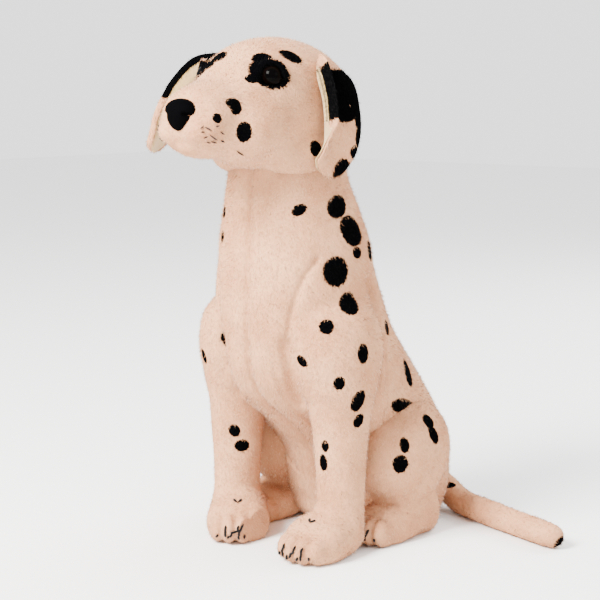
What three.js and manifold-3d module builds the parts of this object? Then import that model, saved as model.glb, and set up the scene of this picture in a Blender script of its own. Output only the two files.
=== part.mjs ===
// Seated spotted plush dog, modelled in millimetres with +Z up.
// The dog faces -Y and its left side is +X. The pieces are drawn about a point on the floor
// below the neck, and the group then moves the middle of the seat to the origin.
// Every soft part is a cloth skin around its own stuffing, and each joint has room to turn.
import * as THREE from 'three';
import Module from 'manifold-3d';
import { LoftGeometry } from 'three/addons/geometries/LoftGeometry.js';
import { mergeVertices } from 'three/addons/utils/BufferGeometryUtils.js';

const wasm = await Module();
wasm.setup();

// ---- driving dimensions -------------------------------------------------
const SKIN = 3;
const GAP = 0.4;
const FLOOR = 0;
const SEAT_Y = 128;
const BIG = 1200;
const STEP_ANGLE = 8;

const NECK_PIVOT = { y: 8, z: 327 };
const NECK_SADDLE_RADIUS = 70;
const NECK_CLEARANCE = 1.3;
const NECK_SIDES = 36;
const HEAD_SEAM_Z = 378;
const HEAD_OPENING = { radius: 50, below: 20, above: 24, plugGap: 1.5 };

const SHOULDER = { y: 2, z: 200, radius: 50, inner: 42 };
const HIP = { inner: 46 };

const TAIL_ROOT = new THREE.Vector3(4, 192, 42);
const TAIL_MIDDLE = new THREE.Vector3(116, 177, 14);
const TAIL_SWING = 24;
const TAIL_RADIUS = 13;
const TAIL_SKIN = 2.5;
const TAIL_CURL_CLEARANCE = 5;

const EYE_RADIUS = 11.5;
const EYE_INWARD = { x: -0.62, y: 0.77, z: -0.12 };
const EYE_WASHER_DEPTH = 9;
const NOSE_HALF = { x: 16, y: 12, z: 14.5 };
const NOSE_STEM = 34;
const NOSE_WASHER_DEPTH = 24;
const EYE_STEM = { radius: 3, length: 24 };
const WASHER = { inner: 3.4, outer: 9, thickness: 2 };
const EAR_LAYER = 3.6;
const EAR_PARTING = 0.5;
const EAR_CUP = { bend: 0.17, curl: 1.4, curlStart: 0.45 };
const EAR_RINGS = 8;
const EAR_ACROSS = 6;
const EAR_ROOT = { front: -44, back: 28, room: 3 };
const LEG_DETAIL = 8;
const FILL_DETAIL = 5;

// ---- solids from three.js geometry --------------------------------------
function toSolid(geometry) {
  geometry.deleteAttribute('normal');
  geometry.deleteAttribute('uv');
  const merged = mergeVertices(geometry, 1e-4);
  const position = merged.getAttribute('position').array;
  const index = merged.getIndex().array;
  const corners = [];
  for (let i = 0; i < index.length; i += 3) {
    const [a, b, c] = [index[i], index[i + 1], index[i + 2]];
    if (a !== b && b !== c && c !== a) corners.push(a, b, c);
  }
  if (signedVolume(position, corners) < 0) corners.reverse();
  const mesh = new wasm.Mesh({
    numProp: 3,
    vertProperties: new Float32Array(position),
    triVerts: new Uint32Array(corners),
  });
  return new wasm.Manifold(mesh);
}

function signedVolume(position, corners) {
  const [a, b, c] = [new THREE.Vector3(), new THREE.Vector3(), new THREE.Vector3()];
  let volume = 0;
  for (let i = 0; i < corners.length; i += 3) {
    a.fromArray(position, corners[i] * 3);
    b.fromArray(position, corners[i + 1] * 3);
    c.fromArray(position, corners[i + 2] * 3);
    volume += a.dot(b.cross(c)) / 6;
  }
  return volume;
}

function toGeometry(solid) {
  const mesh = solid.getMesh();
  const geometry = new THREE.BufferGeometry();
  geometry.setAttribute('position', new THREE.BufferAttribute(mesh.vertProperties.slice(), 3));
  geometry.setIndex(new THREE.BufferAttribute(mesh.triVerts.slice(), 1));
  geometry.computeVertexNormals();
  return geometry;
}

function box(low, high) {
  const size = high.clone().sub(low);
  const geometry = new THREE.BoxGeometry(size.x, size.y, size.z);
  const centre = low.clone().add(high).multiplyScalar(0.5);
  return toSolid(geometry.translate(centre.x, centre.y, centre.z));
}

function sphere(centre, radius, sides = 12) {
  const geometry = new THREE.SphereGeometry(radius, sides, sides / 2);
  return toSolid(geometry.translate(centre.x, centre.y, centre.z));
}

function cylinderAlong(start, end, radius, sides = 24) {
  const geometry = new THREE.CylinderGeometry(radius, radius, start.distanceTo(end), sides);
  const turn = new THREE.Quaternion();
  turn.setFromUnitVectors(new THREE.Vector3(0, 1, 0), end.clone().sub(start).normalize());
  const centre = start.clone().add(end).multiplyScalar(0.5);
  geometry.applyQuaternion(turn).translate(centre.x, centre.y, centre.z);
  return toSolid(geometry);
}

const above = (z) => box(new THREE.Vector3(-BIG, -BIG, z), new THREE.Vector3(BIG, BIG, BIG));
const below = (z) => box(new THREE.Vector3(-BIG, -BIG, -BIG), new THREE.Vector3(BIG, BIG, z));

function outside(side, x) {
  const near = new THREE.Vector3(side > 0 ? x : -BIG, -BIG, -BIG);
  const far = new THREE.Vector3(side > 0 ? BIG : -x, BIG, BIG);
  return box(near, far);
}

// The volume that a solid passes through while it turns about a line.
function swept(solid, pivot, axis, from, to) {
  let volume = solid;
  const steps = Math.max(1, Math.round(Math.abs(to - from) / STEP_ANGLE));
  for (let i = 0; i <= steps; i++) {
    const angle = THREE.MathUtils.degToRad(from + ((to - from) * i) / steps);
    const turn = new THREE.Matrix4().makeRotationAxis(axis, angle);
    const there = new THREE.Matrix4().makeTranslation(pivot.x, pivot.y, pivot.z);
    const back = new THREE.Matrix4().makeTranslation(-pivot.x, -pivot.y, -pivot.z);
    volume = volume.add(solid.transform(there.multiply(turn).multiply(back).toArray()));
  }
  return volume;
}

// ---- smooth lofts through a few stations --------------------------------
// A closed loft, with each section turned to run counterclockwise as seen from the far end.
function lofted(sections) {
  const [start, next] = sections;
  const middle = (points) => points.reduce((sum, p) => sum.add(p), new THREE.Vector3())
    .divideScalar(points.length);
  const centre = middle(start);
  const winding = new THREE.Vector3();
  for (let i = 0; i < start.length; i++) {
    const near = start[i].clone().sub(centre);
    winding.add(near.cross(start[(i + 1) % start.length].clone().sub(centre)));
  }
  if (winding.dot(middle(next).sub(centre)) < 0) sections.forEach((points) => points.reverse());
  return toSolid(new LoftGeometry(sections, { capStart: true, capEnd: true }));
}

function catmull(a, b, c, d, t) {
  const bend = 2 * a - 5 * b + 4 * c - d;
  const swing = 3 * b - 3 * c + d - a;
  return 0.5 * (2 * b + (c - a) * t + bend * t * t + swing * t * t * t);
}

function stationAt(stations, t) {
  const last = stations.length - 1;
  const k = Math.min(Math.floor(t * last), last - 1);
  const near = [-1, 0, 1, 2].map((n) => stations[THREE.MathUtils.clamp(k + n, 0, last)]);
  return stations[0].map((_, i) => catmull(...near.map((row) => row[i]), t * last - k));
}

// Stations are [along, centreU, centreV, halfU, halfV]. Along runs up Z for a column
// (U is X, V is Y) and along Y for a barrel (U is X, V is Z). Growth moves the whole
// surface out, and the rounding lengths close the two ends with a dome.
function loft(kind, stations, { rings, sides, grow = 0, round = [0, 0], square = 2 }) {
  const first = stations[0][0];
  const length = stations[stations.length - 1][0] - first;
  const sections = [];
  for (let i = 0; i <= rings; i++) {
    const t = (1 - Math.cos((Math.PI * i) / rings)) / 2;
    const [along, centreU, centreV, halfU, halfV] = stationAt(stations, t);
    const reach = (along - first) / length;
    const place = along + grow * Math.sign(length) * (2 * reach - 1);
    const dome = domeScale(Math.abs(reach * length), round[0]) *
      domeScale(Math.abs((1 - reach) * length), round[1]);
    sections.push(ring(kind, place, [centreU, centreV], [
      (halfU + grow) * dome,
      (halfV + grow) * dome,
    ], sides, square));
  }
  return lofted(sections);
}

function domeScale(distance, length) {
  if (length === 0 || distance >= length) return 1;
  const rest = 1 - distance / length;
  return Math.max(0.14, Math.sqrt(1 - rest * rest));
}

function ring(kind, along, centre, half, sides, square) {
  const points = [];
  for (let i = 0; i < sides; i++) {
    const angle = (2 * Math.PI * i) / sides;
    const [c, s] = [Math.cos(angle), Math.sin(angle)];
    const u = centre[0] + half[0] * Math.sign(c) * Math.abs(c) ** (2 / square);
    const v = centre[1] + half[1] * Math.sign(s) * Math.abs(s) ** (2 / square);
    points.push(kind === 'column' ? new THREE.Vector3(u, v, along) : new THREE.Vector3(u, along, v));
  }
  return points;
}

// A tube of changing radius along a curve, with rounded ends.
function tube(curve, radiusAt, { from, to, rings, sides, grow = 0 }) {
  const sections = [];
  const up = new THREE.Vector3(0, 0, 1);
  for (let i = 0; i <= rings; i++) {
    const t = from + ((to - from) * i) / rings;
    const centre = curve.getPointAt(t);
    const side = new THREE.Vector3().crossVectors(curve.getTangentAt(t), up).normalize();
    const lift = new THREE.Vector3().crossVectors(side, curve.getTangentAt(t));
    const radius = radiusAt(t) + grow;
    const points = [];
    for (let k = 0; k < sides; k++) {
      const angle = (2 * Math.PI * k) / sides;
      const point = centre.clone().addScaledVector(side, radius * Math.cos(angle));
      points.push(point.addScaledVector(lift, radius * Math.sin(angle)));
    }
    sections.push(points);
  }
  return lofted(sections);
}

// ---- trunk: one upright loft that the neck saddle divides ----------------
// Each row is [height, front, back, half width].
const TRUNK_ROWS = [
  [0, 84, 172, 58],
  [10, 68, 187, 76],
  [30, 58, 197, 86],
  [60, 48, 202, 90],
  [90, 34, 199, 89],
  [120, 2, 187, 86],
  [150, -40, 168, 83],
  [180, -58, 142, 81],
  [206, -62, 119, 80],
  [240, -63, 99, 79],
  [270, -61, 86, 76],
  [300, -58, 79, 71],
  [330, -57, 70, 65],
  [360, -57, 60, 59],
  [392, -54, 56, 55],
];
const TRUNK = TRUNK_ROWS.map(([z, front, back, half]) => (
  [z, 0, (front + back) / 2, half, (back - front) / 2]));

const trunk = (grow, rings, sides) => loft('column', TRUNK, { rings, sides, grow, square: 2.15 });

function neckSaddle(radius) {
  const start = new THREE.Vector3(-BIG / 4, NECK_PIVOT.y, NECK_PIVOT.z);
  const end = new THREE.Vector3(BIG / 4, NECK_PIVOT.y, NECK_PIVOT.z);
  return cylinderAlong(start, end, radius, NECK_SIDES).add(above(NECK_PIVOT.z));
}

// ---- front legs ----------------------------------------------------------
// Each row is [height, x, y, half width, half depth], for the left leg.
const FRONT_LEG = [
  [12, 66, 0, 22, 24],
  [40, 66, -1, 21.5, 23.5],
  [75, 66, 0, 22.5, 24],
  [105, 66, 0, 25, 26],
  [135, 65, 1, 28.5, 31],
  [165, 64, 2, 34, 40],
  [195, 62, 3, 38, 47],
  [225, 59, 2, 36, 41],
  [248, 55, 2, 30, 32],
];
// Each row is [y, x, z, half width, half height], before the paw is turned.
const FRONT_PAW = [
  [-45, 0, 14, 26, 17],
  [-22, 0, 17, 30, 23],
  [6, 0, 20, 27, 25],
  [30, 0, 22, 22, 22],
];
const PAWS = {
  left: { x: 65, y: -18, turn: 0 },
  right: { x: -56, y: -9, turn: 36 },
};

function frontColumn(side, grow, detail) {
  const rows = FRONT_LEG.map(([z, x, y, half, depth]) => [z, side * x, y, half, depth]);
  return loft('column', rows, { rings: detail, sides: 2 * detail, grow, round: [0, 26] });
}

function frontLeg(side, grow, detail) {
  const place = PAWS[side > 0 ? 'left' : 'right'];
  const paw = loft('barrel', FRONT_PAW, {
    rings: detail, sides: 2 * detail - 2, grow, round: [20, 22], square: 2.5,
  });
  const turn = new THREE.Matrix4().makeRotationZ(THREE.MathUtils.degToRad(place.turn));
  turn.setPosition(place.x, place.y, 0);
  const whole = frontColumn(side, grow, detail).add(paw.transform(turn.toArray()));
  return whole.intersect(above(FLOOR - Math.min(grow, 0)));
}

// ---- hind legs -----------------------------------------------------------
// The left thigh is an egg that leans forward by its tilt in degrees.
const THIGH = { x: 71, y: 97, z: 83, halfX: 38, halfY: 60, halfZ: 53, tilt: 12 };
// Each row is [y, x, z, half width, half height] along the foot from toes to heel.
const HIND_FOOT = [
  [33, 75, 14, 24, 18],
  [60, 75, 17, 26, 22],
  [95, 75, 22, 26, 26],
  [136, 76, 22, 23, 26],
];

function hindLeg(side, grow, detail) {
  const thighShape = new THREE.SphereGeometry(1, 2 * detail, detail);
  thighShape.scale(THIGH.halfX + grow, THIGH.halfY + grow, THIGH.halfZ + grow);
  thighShape.rotateX(THREE.MathUtils.degToRad(THIGH.tilt));
  const thigh = toSolid(thighShape.translate(side * THIGH.x, THIGH.y, THIGH.z));
  const rows = HIND_FOOT.map(([y, x, z, half, height]) => [y, side * x, z, half, height]);
  const foot = loft('barrel', rows, {
    rings: detail - 1, sides: 2 * detail - 2, grow, round: [22, 24], square: 2.5,
  });
  return thigh.add(foot).intersect(above(FLOOR - Math.min(grow, 0)));
}

// ---- tail ----------------------------------------------------------------
const TAIL_CURVE = new THREE.CatmullRomCurve3([
  TAIL_ROOT,
  new THREE.Vector3(34, 213, 27),
  new THREE.Vector3(78, 194, 15),
  TAIL_MIDDLE,
  new THREE.Vector3(168, 158, 13.2),
  new THREE.Vector3(232, 135, 13),
]);
const TAIL_SPLIT = 0.52;
const TAIL_TAPER = 1.4;
const TAIL_TIP = { start: 0.96, length: 0.043, least: 3 };
const TAIL_BALL_SLACK = 0.4;
const TAIL_ROOM = { reach: 0.2, shaft: 1.5, ball: 2 };

function tailRadius(t) {
  const taper = TAIL_RADIUS - TAIL_TAPER * t;
  if (t <= TAIL_TIP.start) return taper;
  const reach = (t - TAIL_TIP.start) / TAIL_TIP.length;
  return Math.max(TAIL_TIP.least, taper * Math.sqrt(Math.max(0, 1 - reach ** 2)));
}

function tailStretch(from, to, rings, grow) {
  return tube(TAIL_CURVE, tailRadius, { from, to, rings, sides: 10, grow });
}

// ---- head ----------------------------------------------------------------
// Each row is [y, underside, top, half width] from the muzzle to the nape.
const HEAD_ROWS = [
  [-160, 399, 441, 22],
  [-146, 391, 448, 31],
  [-128, 386, 453, 36],
  [-108, 384, 459, 39],
  [-90, 382, 473, 45],
  [-70, 378, 488, 52],
  [-45, 374, 497, 58],
  [-12, 370, 500, 61],
  [20, 370, 497, 61],
  [48, 374, 487, 57],
  [76, 388, 466, 48],
];
const HEAD = HEAD_ROWS.map(([y, under, top, half]) => (
  [y, 0, (under + top) / 2, half, (top - under) / 2]));

const headShape = (grow, rings, sides) => (
  loft('barrel', HEAD, { rings, sides, grow, round: [16, 40], square: 2.2 }));

const NOSE = new THREE.Vector3(0, -157, 431);
const EYES = { x: 39, y: -75, z: 465 };

function noseShape(grow) {
  const geometry = new THREE.SphereGeometry(1, 14, 8);
  geometry.scale(NOSE_HALF.x + grow, NOSE_HALF.y + grow, NOSE_HALF.z + grow);
  geometry.translate(NOSE.x, NOSE.y, NOSE.z);
  const stemEnd = NOSE.clone().add(new THREE.Vector3(0, NOSE_STEM, 0));
  return toSolid(geometry).add(cylinderAlong(NOSE, stemEnd, EYE_STEM.radius + grow, 8));
}

function eyeFrame(side) {
  const centre = new THREE.Vector3(side * EYES.x, EYES.y, EYES.z);
  const inward = new THREE.Vector3(side * EYE_INWARD.x, EYE_INWARD.y, EYE_INWARD.z).normalize();
  return { centre, inward };
}

function eyeShape(side, grow) {
  const { centre, inward } = eyeFrame(side);
  const stemEnd = centre.clone().addScaledVector(inward, EYE_RADIUS + EYE_STEM.length);
  const stem = cylinderAlong(centre, stemEnd, EYE_STEM.radius + grow, 8);
  return sphere(centre, EYE_RADIUS + grow, 14).add(stem);
}

function washer(start, inward, grow) {
  const end = start.clone().addScaledVector(inward, WASHER.thickness + grow);
  const from = start.clone().addScaledVector(inward, -grow);
  const disc = cylinderAlong(from, end, WASHER.outer + grow, 14);
  if (grow > 0) return disc;
  return disc.subtract(cylinderAlong(
    start.clone().addScaledVector(inward, -1),
    end.clone().addScaledVector(inward, 1),
    WASHER.inner,
    8,
  ));
}

const washerPlaces = [1, -1].map((side) => {
  const { centre, inward } = eyeFrame(side);
  return { start: centre.clone().addScaledVector(inward, EYE_RADIUS + EYE_WASHER_DEPTH), inward };
});
const noseWasherPlace = {
  start: NOSE.clone().add(new THREE.Vector3(0, NOSE_WASHER_DEPTH, 0)),
  inward: new THREE.Vector3(0, 1, 0),
};

// ---- ears ----------------------------------------------------------------
// Each row is the middle of the ear from root to tip, its half width and the way its width runs.
const EARS = {
  left: {
    hinge: { x: 53, z: 471 },
    rows: [
      [55, -12, 471, 20, 0.15],
      [67, -13, 467, 23, 0.25],
      [77, -14, 448, 25, 0.35],
      [81, -15, 419, 26, 0.4],
      [78, -16, 390, 23, 0.4],
      [72, -16, 371, 16, 0.35],
      [69, -16, 361, 7, 0.35],
    ],
  },
  right: {
    hinge: { x: -53, z: 471 },
    rows: [
      [-55, -12, 471, 20, -0.1],
      [-71, -13, 471, 23, -0.1],
      [-89, -17, 463, 26, -0.15],
      [-109, -25, 441, 28, -0.2],
      [-125, -34, 415, 25, -0.2],
      [-135, -41, 396, 17, -0.2],
      [-140, -45, 386, 7, -0.2],
    ],
  },
};

// One cloth layer of an ear: level 0 is the mid surface, and the layer lies between two levels.
function earLayer(rows, low, high) {
  const outward = Math.sign(rows[0][0]);
  const sections = [];
  for (let i = 0; i <= EAR_RINGS; i++) {
    const t = i / EAR_RINGS;
    const [x, y, z, half, twist] = stationAt(rows, t);
    const ahead = stationAt(rows, Math.min(1, t + 0.02));
    const behind = stationAt(rows, Math.max(0, t - 0.02));
    const along = new THREE.Vector3(...[0, 1, 2].map((k) => ahead[k] - behind[k])).normalize();
    const wide = new THREE.Vector3(twist, 1, 0).projectOnPlane(along).normalize();
    const face = new THREE.Vector3().crossVectors(along, wide).multiplyScalar(outward);
    const spread = (s, level) => {
      const curl = Math.max(0, -s - EAR_CUP.curlStart) ** 2;
      const cup = half * (EAR_CUP.bend * s * s + EAR_CUP.curl * curl);
      const point = new THREE.Vector3(x, y, z).addScaledVector(wide, half * s);
      return point.addScaledVector(face, cup + level);
    };
    const points = [];
    const step = 2 / EAR_ACROSS;
    for (let k = 0; k <= EAR_ACROSS; k++) points.push(spread(k * step - 1, high));
    for (let k = EAR_ACROSS; k >= 0; k--) points.push(spread(k * step - 1, low));
    sections.push(points);
  }
  return lofted(sections);
}

// ---- skins and stuffing --------------------------------------------------
const X = new THREE.Vector3(1, 0, 0);
const Y = new THREE.Vector3(0, 1, 0);
const Z = new THREE.Vector3(0, 0, 1);
const SLAB_REACH = 90;

// A slab cut to an outline in the YZ plane, on one side of the body.
function sideSlab(outline, side, from) {
  const geometry = new THREE.ExtrudeGeometry(outline, {
    depth: SLAB_REACH, bevelEnabled: false, curveSegments: 12,
  });
  geometry.applyMatrix4(new THREE.Matrix4().makeBasis(Y, Z, X));
  geometry.translate(side > 0 ? from : -from - SLAB_REACH, 0, 0);
  return toSolid(geometry);
}

// The back edge of a front leg's room as [y, z] points, and the straight front edge.
const FRONT_ROOM = { front: -54, foot: 70, top: 190, slack: 1 };
const FRONT_ROOM_BACK = [[29, 70], [32, 105], [37, 135], [48, 165]];
const THIGH_ROOM = { y: 95, z: 86, halfY: 68, halfZ: 61 };
const FOOT_ROOM = { front: 0, back: 142, low: -20, high: 60 };

// Room for a front leg as it swings forward: the round shoulder and the column below it.
function frontRoom(grow) {
  const outline = new THREE.Shape();
  outline.moveTo(FRONT_ROOM.front - grow, FRONT_ROOM.foot);
  for (const [y, z] of FRONT_ROOM_BACK) outline.lineTo(y + grow, z);
  const radius = SHOULDER.radius + FRONT_ROOM.slack + grow;
  outline.absarc(SHOULDER.y, SHOULDER.z, radius, 0, Math.PI, false);
  outline.lineTo(FRONT_ROOM.front - grow, FRONT_ROOM.top);
  return outline;
}

// Room for a hind leg as it lifts: the thigh and, below it, the foot.
function hindRooms(grow) {
  const thigh = new THREE.Shape();
  const { y, z, halfY, halfZ } = THIGH_ROOM;
  thigh.absellipse(y, z, halfY + grow, halfZ + grow, 0, 2 * Math.PI, false, 0);
  const foot = new THREE.Shape();
  foot.moveTo(FOOT_ROOM.front, FOOT_ROOM.low);
  foot.lineTo(FOOT_ROOM.back + grow, FOOT_ROOM.low);
  foot.lineTo(FOOT_ROOM.back + grow, FOOT_ROOM.high + grow);
  foot.lineTo(FOOT_ROOM.front, FOOT_ROOM.high + grow);
  return [thigh, foot];
}

function legRoom(grow) {
  let room = null;
  for (const side of [1, -1]) {
    let sideRoom = sideSlab(frontRoom(grow), side, SHOULDER.inner - grow);
    for (const outline of hindRooms(grow)) {
      sideRoom = sideRoom.add(sideSlab(outline, side, HIP.inner - grow));
    }
    room = room ? room.add(sideRoom) : sideRoom;
  }
  return room;
}

function tailRoom(grow) {
  const end = TAIL_CURVE.getPointAt(TAIL_ROOM.reach);
  const shaft = cylinderAlong(TAIL_ROOT, end, TAIL_RADIUS + TAIL_ROOM.shaft + grow, 12);
  const ball = sphere(TAIL_ROOT, TAIL_RADIUS + TAIL_ROOM.ball + grow, 14);
  return swept(shaft, TAIL_ROOT, Z, 0, TAIL_SWING).add(ball);
}

const parts = [];
function part(name, solid, colour, roughness) {
  const material = new THREE.MeshStandardMaterial({ color: colour, roughness, metalness: 0 });
  const mesh = new THREE.Mesh(toGeometry(solid), material);
  mesh.name = name;
  parts.push(mesh);
}

const PLUSH = 0xeed8c6;
const FILLING = 0xf7f7f4;
const BLACK = 0x17151a;
const LINING = 0xe3cfa6;
const PLASTIC = 0xd8d8d4;

function makeTorso() {
  const seam = neckSaddle(NECK_SADDLE_RADIUS + NECK_CLEARANCE);
  const rooms = legRoom(GAP).add(tailRoom(GAP));
  const innerRooms = legRoom(GAP + SKIN).add(tailRoom(GAP + SKIN));
  const hollow = trunk(-SKIN, 9, 16).subtract(innerRooms);
  const filling = trunk(-SKIN - GAP, 9, 16).subtract(legRoom(2 * GAP + SKIN))
    .subtract(tailRoom(2 * GAP + SKIN)).subtract(seam);
  part('torso_skin', trunk(0, 15, 28).subtract(rooms).subtract(hollow).subtract(seam), PLUSH, 0.95);
  part('torso_stuffing', filling, FILLING, 1);
}

function makeNeck() {
  const reach = neckSaddle(NECK_SADDLE_RADIUS).intersect(below(HEAD_SEAM_Z));
  part('neck_skin', trunk(0, 15, 28).subtract(trunk(-SKIN, 9, 16)).intersect(reach), PLUSH, 0.95);
  part('neck_stuffing', trunk(-SKIN - GAP, 9, 16).intersect(reach), FILLING, 1);
}

function makeHead() {
  const floor = above(HEAD_SEAM_Z + GAP);
  const foot = new THREE.Vector3(0, 0, HEAD_SEAM_Z - HEAD_OPENING.below);
  const top = new THREE.Vector3(0, 0, HEAD_SEAM_Z + HEAD_OPENING.above);
  const opening = cylinderAlong(foot, top, HEAD_OPENING.radius, 16);
  const plug = cylinderAlong(foot, top, HEAD_OPENING.radius - HEAD_OPENING.plugGap, 16);
  let fittings = noseShape(GAP).add(washer(noseWasherPlace.start, noseWasherPlace.inward, GAP));
  for (const side of [1, -1]) fittings = fittings.add(eyeShape(side, GAP));
  for (const place of washerPlaces) fittings = fittings.add(washer(place.start, place.inward, GAP));
  for (const ear of Object.values(EARS)) {
    const start = new THREE.Vector3(ear.hinge.x, EAR_ROOT.front, ear.hinge.z);
    const end = new THREE.Vector3(ear.hinge.x, EAR_ROOT.back, ear.hinge.z);
    fittings = fittings.add(cylinderAlong(start, end, EAR_LAYER + EAR_ROOT.room, 10));
  }
  const hollow = headShape(-SKIN, 8, 14).add(opening);
  const skin = headShape(0, 15, 24).subtract(hollow).intersect(floor).subtract(fittings);
  const filling = headShape(-SKIN - GAP, 8, 14).add(plug).intersect(floor).subtract(fittings);
  part('head_skin', skin, PLUSH, 0.95);
  part('head_stuffing', filling, FILLING, 1);
}

function makeFace() {
  part('nose', noseShape(0), BLACK, 0.6);
  part('nose_washer', washer(noseWasherPlace.start, noseWasherPlace.inward, 0), PLASTIC, 0.5);
  for (const [index, name] of ['left', 'right'].entries()) {
    const place = washerPlaces[index];
    part(`eye_${name}`, eyeShape(index === 0 ? 1 : -1, 0), BLACK, 0.08);
    part(`eye_washer_${name}`, washer(place.start, place.inward, 0), PLASTIC, 0.5);
  }
}

function makeEars() {
  for (const [name, ear] of Object.entries(EARS)) {
    part(`ear_${name}_outer`, earLayer(ear.rows, EAR_PARTING, EAR_LAYER), PLUSH, 0.95);
    part(`ear_${name}_lining`, earLayer(ear.rows, -EAR_LAYER, -EAR_PARTING), LINING, 0.9);
  }
}

function makeLegs() {
  for (const [name, side] of [['left', 1], ['right', -1]]) {
    const frontReach = outside(side, SHOULDER.inner);
    const frontHollow = frontLeg(side, -SKIN, FILL_DETAIL);
    const front = frontLeg(side, 0, LEG_DETAIL).subtract(frontHollow).intersect(frontReach);
    part(`front_leg_${name}_skin`, front, PLUSH, 0.95);
    const frontFilling = frontLeg(side, -SKIN - GAP, FILL_DETAIL).intersect(frontReach);
    part(`front_leg_${name}_stuffing`, frontFilling, FILLING, 1);
    const hindReach = outside(side, HIP.inner);
    const hindHollow = hindLeg(side, -SKIN, FILL_DETAIL);
    const hind = hindLeg(side, 0, LEG_DETAIL).subtract(hindHollow).intersect(hindReach);
    part(`hind_leg_${name}_skin`, hind, PLUSH, 0.95);
    const hindFilling = hindLeg(side, -SKIN - GAP, FILL_DETAIL).intersect(hindReach);
    part(`hind_leg_${name}_stuffing`, hindFilling, FILLING, 1);
  }
}

function makeTail() {
  const split = TAIL_CURVE.getPointAt(TAIL_SPLIT);
  const start = TAIL_SPLIT - TAIL_CURL_CLEARANCE / TAIL_CURVE.getLength();
  const socket = sphere(split, tailRadius(TAIL_SPLIT) + GAP - TAIL_BALL_SLACK, 16);
  const ball = sphere(split, tailRadius(TAIL_SPLIT) - TAIL_BALL_SLACK, 16);
  const base = tailStretch(0.02, start, 8, 0);
  const baseFilling = tailStretch(0.01, start + 0.02, 8, -TAIL_SKIN);
  part('tail_base_skin', base.subtract(baseFilling).subtract(socket), PLUSH, 0.95);
  const baseCore = tailStretch(0.03, start, 8, -TAIL_SKIN - 3 * GAP).subtract(socket);
  part('tail_base_stuffing', baseCore, FILLING, 1);
  const tip = tailStretch(TAIL_SPLIT, 1, 10, 0).add(ball);
  const tipHollow = tailStretch(TAIL_SPLIT - 0.08, 0.945, 10, -TAIL_SKIN);
  part('tail_end_skin', tip.subtract(tipHollow), PLUSH, 0.95);
  part('tail_end_stuffing', tailStretch(TAIL_SPLIT - 0.03, 0.93, 10, -TAIL_SKIN - 3 * GAP), FILLING, 1);
}

makeTorso();
makeNeck();
makeHead();
makeFace();
makeEars();
makeLegs();
makeTail();

const group = new THREE.Group();
group.add(...parts);
group.position.y = -SEAT_Y;
export default group;
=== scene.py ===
"""Looks of a seated spotted plush dog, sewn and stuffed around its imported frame.

Lengths in the tables are millimetres; meshes are in metres, +Z up. The dog faces -Y and
its left side is +X.
"""

import logging
import math
from dataclasses import dataclass, field
from enum import Enum
from typing import Sequence

import bpy
import numpy as np
import openvdb
from mathutils import Euler, Matrix, Vector
from mathutils.bvhtree import BVHTree
from mathutils.kdtree import KDTree


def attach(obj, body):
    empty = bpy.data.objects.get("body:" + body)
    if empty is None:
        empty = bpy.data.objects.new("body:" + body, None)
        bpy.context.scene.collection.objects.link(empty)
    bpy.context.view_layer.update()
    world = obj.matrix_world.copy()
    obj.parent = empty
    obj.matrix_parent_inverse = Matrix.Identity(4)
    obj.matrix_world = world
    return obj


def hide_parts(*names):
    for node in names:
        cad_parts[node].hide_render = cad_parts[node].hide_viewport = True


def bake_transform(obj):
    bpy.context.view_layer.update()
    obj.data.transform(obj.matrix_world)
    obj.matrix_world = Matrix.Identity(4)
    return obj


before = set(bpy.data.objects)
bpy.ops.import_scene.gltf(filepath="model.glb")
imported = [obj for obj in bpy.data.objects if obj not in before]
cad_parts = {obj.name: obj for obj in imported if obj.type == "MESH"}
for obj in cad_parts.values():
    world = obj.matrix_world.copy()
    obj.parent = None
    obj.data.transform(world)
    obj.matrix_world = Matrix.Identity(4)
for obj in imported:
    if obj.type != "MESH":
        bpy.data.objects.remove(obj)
LOG = logging.getLogger("plush_dog")
MM = 0.001
# The attribute that holds a skin's points as made, before any joint moves.
UNBENT = "unbent_place"
# Millimetres from the drawing's origin back to the middle of the seat.
SEAT_BACK = 128.0
# Millimetres over the floor at which forms are cut flat.
FLOOR_CUT = 0.4
# Metres that cloth and pile stay over the floor.
FLOOR_CLEAR = 0.0003
# How fast a front leg's column thins past its join with the trunk.
LEG_FADE = 0.32
# Millimetres between the points of a line laid on a skin.
LINE_STEP = 2.0
# How far thread stands out from a skin, in metres.
THREAD_OUT = 0.0011
Rgb = tuple[float, float, float]
Triple = tuple[float, float, float]
Rows = Sequence[Sequence[float]]


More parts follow.
